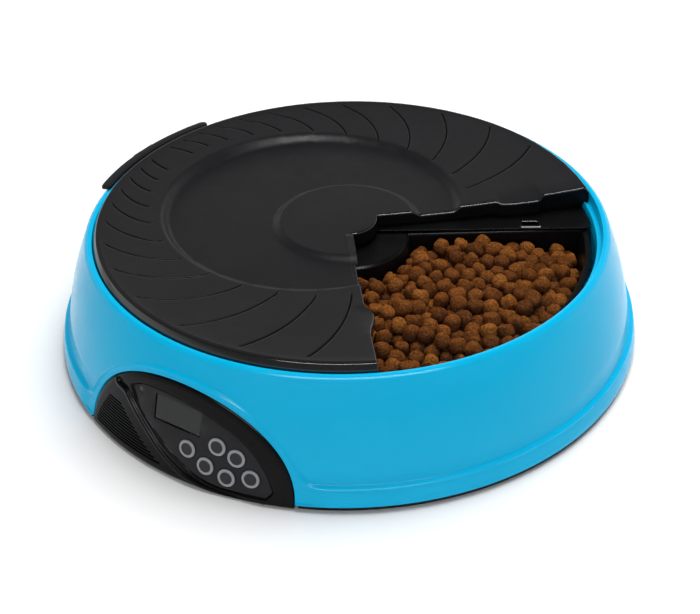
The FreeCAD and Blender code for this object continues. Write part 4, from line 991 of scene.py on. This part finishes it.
def settle(count, steps=260):
    """Lets round pieces fall into the open compartment and push each other apart."""
    rng = np.random.default_rng(11)
    size = rng.uniform(3.9, 4.5, count)
    azimuth = np.radians(rng.uniform(-52, 29, count))
    reach = np.sqrt(rng.uniform(42**2, 121**2, count))
    at = np.column_stack((reach * np.cos(azimuth), reach * np.sin(azimuth), rng.uniform(30, 66, count)))
    high, low = math.radians(DIVIDERS[0]), math.radians(DIVIDERS[0] - 90)
    inward = [np.array([math.sin(high), -math.cos(high), 0]), np.array([-math.sin(low), math.cos(low), 0])]
    for step in range(steps):
        at[:, 2] -= 0.45 if step < steps * 0.7 else 0.12  # the fall slows down at the end
        for _ in range(2):
            gap = at[:, None, :] - at[None, :, :]
            far = np.linalg.norm(gap, axis=2) + np.eye(count) * 1e3  # a piece never pushes itself
            overlap = np.maximum(0, (size[:, None] + size[None, :]) * 0.96 - far)
            at += 0.42 * (gap / far[..., None] * overlap[..., None]).sum(axis=1)
            radius = np.hypot(at[:, 0], at[:, 1])
            outer = 124.5 + (at[:, 2] - 25.5) * 0.17 - size - 0.3
            inner = 37.3 - (at[:, 2] - 25.5) * 0.08 + size + 0.3
            wanted = np.clip(radius, inner, outer)  # between the hub and the bowl's wall
            at[:, :2] *= (wanted / radius)[:, None]
            at[:, 2] = np.maximum(at[:, 2], 25.8 + size)
            for direction in inward:
                short = size + 1.9 - at @ direction
                at += np.maximum(0, short)[:, None] * direction
    return at, size, rng


def food_piece(rng, variant):
    """One baked piece: a short, rounded cylinder or lump with an uneven skin, of about unit radius."""
    work = bmesh.new()
    bmesh.ops.create_icosphere(work, subdivisions=3, radius=1.0)
    co = np.array([v.co for v in work.verts])
    high, power = (0.86, 4.2) if variant % 3 else (0.94, 2.6)
    flat = (np.hypot(co[:, 0], co[:, 1]) ** power + np.abs(co[:, 2] / high) ** power) ** (-1 / power)
    waves = rng.normal(size=(9, 3)) * np.repeat([[1.2], [2.8], [5.0]], 3, axis=0)
    phase = rng.uniform(0, 6.28, 9)
    strength = np.repeat([0.04, 0.03, 0.022], 3)
    swell = (np.sin(co @ waves.T + phase) * strength).sum(axis=1)
    co = co * (flat * (1 + swell))[:, None] * rng.uniform(0.9, 1.04, 3)
    faces = [[v.index for v in f.verts] for f in work.faces]
    work.free()
    return co, faces


def build_food():
    """The meal: one mesh of all the pieces, each with a tone of its own."""
    at, size, rng = settle(640)
    shapes = [food_piece(rng, k) for k in range(12)]
    verts, faces, tones = [], [], []
    base = 0
    for spot, radius in zip(at, size):
        co, shape_faces = shapes[rng.integers(len(shapes))]
        axis = rng.normal(size=3)
        turn = Matrix.Rotation(rng.uniform(0, 6.28), 3, Vector(axis).normalized())
        placed = co @ np.array(turn).T * radius * 1.02 + spot
        verts.append(placed)
        faces += [[base + k for k in f] for f in shape_faces]
        tones += [float(rng.beta(2.2, 2.2))] * len(co)
        base += len(co)
    mesh = bpy.data.meshes.new("dry_food")
    mesh.from_pydata([tuple(v) for v in np.vstack(verts) * MM], [], faces)
    tone = mesh.attributes.new("tone", "FLOAT", "POINT")
    tone.data.foreach_set("value", tones)
    mesh.shade_smooth()
    return linked("dry_food", mesh)


finish_piece(build_food(), KIBBLE, "tray", "kibble_brown", "kibble_fill")

# ---------------------------------------------------------------- carried-over CAD pieces

NODE_MATERIALS = {
    "base_plate": BASE, "rubber_feet": RUBBER, "base_screws": STEEL, "battery_cells": CELL,
    "battery_springs": BRUSHED, "battery_contacts": BRUSHED, "battery_door": BASE, "control_label": LABEL,
    "display_window": WINDOW, "display_glass": SCREEN, "display_holder": NYLON, "status_lamp": LAMP,
    "control_board": BOARD, "key_switches": KEY, "board_components": KEY, "microphone": BRUSHED,
    "speaker_frame": BRUSHED, "speaker_cone": PAPER, "speaker_magnet": CASE, "output_gear": NYLON,
    "index_magnets": STEEL, "drive_spindle": NYLON, "idler_gear": NYLON, "idler_axle": BRUSHED,
    "motor_pinion": NYLON, "motor_shaft": BRUSHED, "drive_motor": BRUSHED, "gearbox_case": CASE,
    "gearbox_plate": CASE, "gearbox_screws": STEEL, "spindle_bush": NYLON, "position_sensor": BOARD,
    "latch_pin": BRUSHED, "latch_spring": BRUSHED, "battery_lead": RED, "motor_lead": RED,
    "speaker_lead": KEY,
}
# How far the edges of these are rounded.
EDGE_WIDTHS = {"base_plate": 0.35, "battery_door": 0.25, "control_label": 0.08, "rubber_feet": 0.4,
               "display_window": 0.45, "base_screws": 0.12}
for node, material in NODE_MATERIALS.items():
    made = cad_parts[node]
    made.data.materials.clear()
    made.data.materials.append(material)
for node, width in EDGE_WIDTHS.items():
    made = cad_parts[node]
    modifier(made, "WELD", merge_threshold=2e-6)
    modifier(made, "BEVEL", width=width * MM, segments=2, limit_method="ANGLE", angle_limit=math.radians(40))

# ---------------------------------------------------------------- floor, light and camera


def build_floor():
    """A wide pale floor, just under the feet."""
    across = np.linspace(-9000, 9000, 25)
    verts = [(x, y, -0.2) for x in across for y in across]
    made = new_object("studio_floor", verts, grid_faces(len(across), len(across)), 180)
    paper = moulded("studio_paper", (0.94, 0.94, 0.94), 0.9, 0.01, 300, 0.02, 0.0, specular=0.1)
    made.data.materials.append(paper)


build_floor()


def area_light(name, at, target, width, height, power):
    """A rectangular lamp that looks at a target; metres and watts."""
    lamp = bpy.data.lights.new(name, "AREA")
    lamp.shape = "RECTANGLE"
    lamp.size, lamp.size_y = width, height
    lamp.energy = power
    made = linked(name, lamp)
    made.location = at
    made.rotation_mode = "QUATERNION"
    made.rotation_quaternion = (target - Vector(at)).to_track_quat("-Z", "Y")
    return made


LID_HEIGHT = Vector((0, 0, 0.05))
BODY_MIDDLE = Vector((0, 0, 0.03))
area_light("top_light", (0.05, 0.45, 1.45), BODY_MIDDLE, 1.1, 1.1, 28.5).visible_glossy = False
area_light("front_strip", (0.55, -0.75, 1.25), LID_HEIGHT, 1.4, 0.24, 22).visible_diffuse = False
area_light("front_fill", (0.35, -1.5, 0.7), BODY_MIDDLE, 1.5, 1.0, 6).visible_glossy = False


def build_world():
    """White near and below the horizon, dim at middling heights and darkest overhead."""
    world = bpy.data.worlds.new("studio")
    bpy.context.scene.world = world
    world.use_nodes = True
    nodes, links = world.node_tree.nodes, world.node_tree.links
    place = nodes.new("ShaderNodeTexCoord")
    split = nodes.new("ShaderNodeSeparateXYZ")
    ramp = nodes.new("ShaderNodeValToRGB").color_ramp
    links.new(place.outputs["Generated"], split.inputs[0])
    levels = [(0.0, 0.9), (0.22, 0.8), (0.38, 0.2), (0.7, 0.12), (0.95, 0.05)]
    for number, (height, level) in enumerate(levels):
        stop = ramp.elements[number] if number < 2 else ramp.elements.new(height)
        stop.position = height
        stop.color = (level, level, level, 1)
    links.new(split.outputs["Z"], nodes["Color Ramp"].inputs["Fac"])
    links.new(nodes["Color Ramp"].outputs["Color"], nodes["Background"].inputs["Color"])


build_world()

CAMERA_AT = Vector((0.3061, -0.4756, 0.4064))
CAMERA_LOOK = Vector((-0.4401, 0.6856, -0.5799))
CAMERA_ROLL = math.radians(-1.11)


def build_camera():
    """The camera in front, above and to the right."""
    data = bpy.data.cameras.new("camera")
    data.sensor_width = 36
    data.lens = 62.09
    data.clip_start = 0.02
    made = linked("camera", data)
    made.location = CAMERA_AT
    made.rotation_mode = "QUATERNION"
    roll = Matrix.Rotation(CAMERA_ROLL, 4, "Z").to_quaternion()
    made.rotation_quaternion = CAMERA_LOOK.normalized().to_track_quat("-Z", "Y") @ roll
    bpy.context.scene.camera = made


build_camera()

bpy.context.scene.view_settings.view_transform = "Standard"
bpy.context.scene.view_settings.look = "None"
bpy.context.scene.view_settings.exposure = 0.0
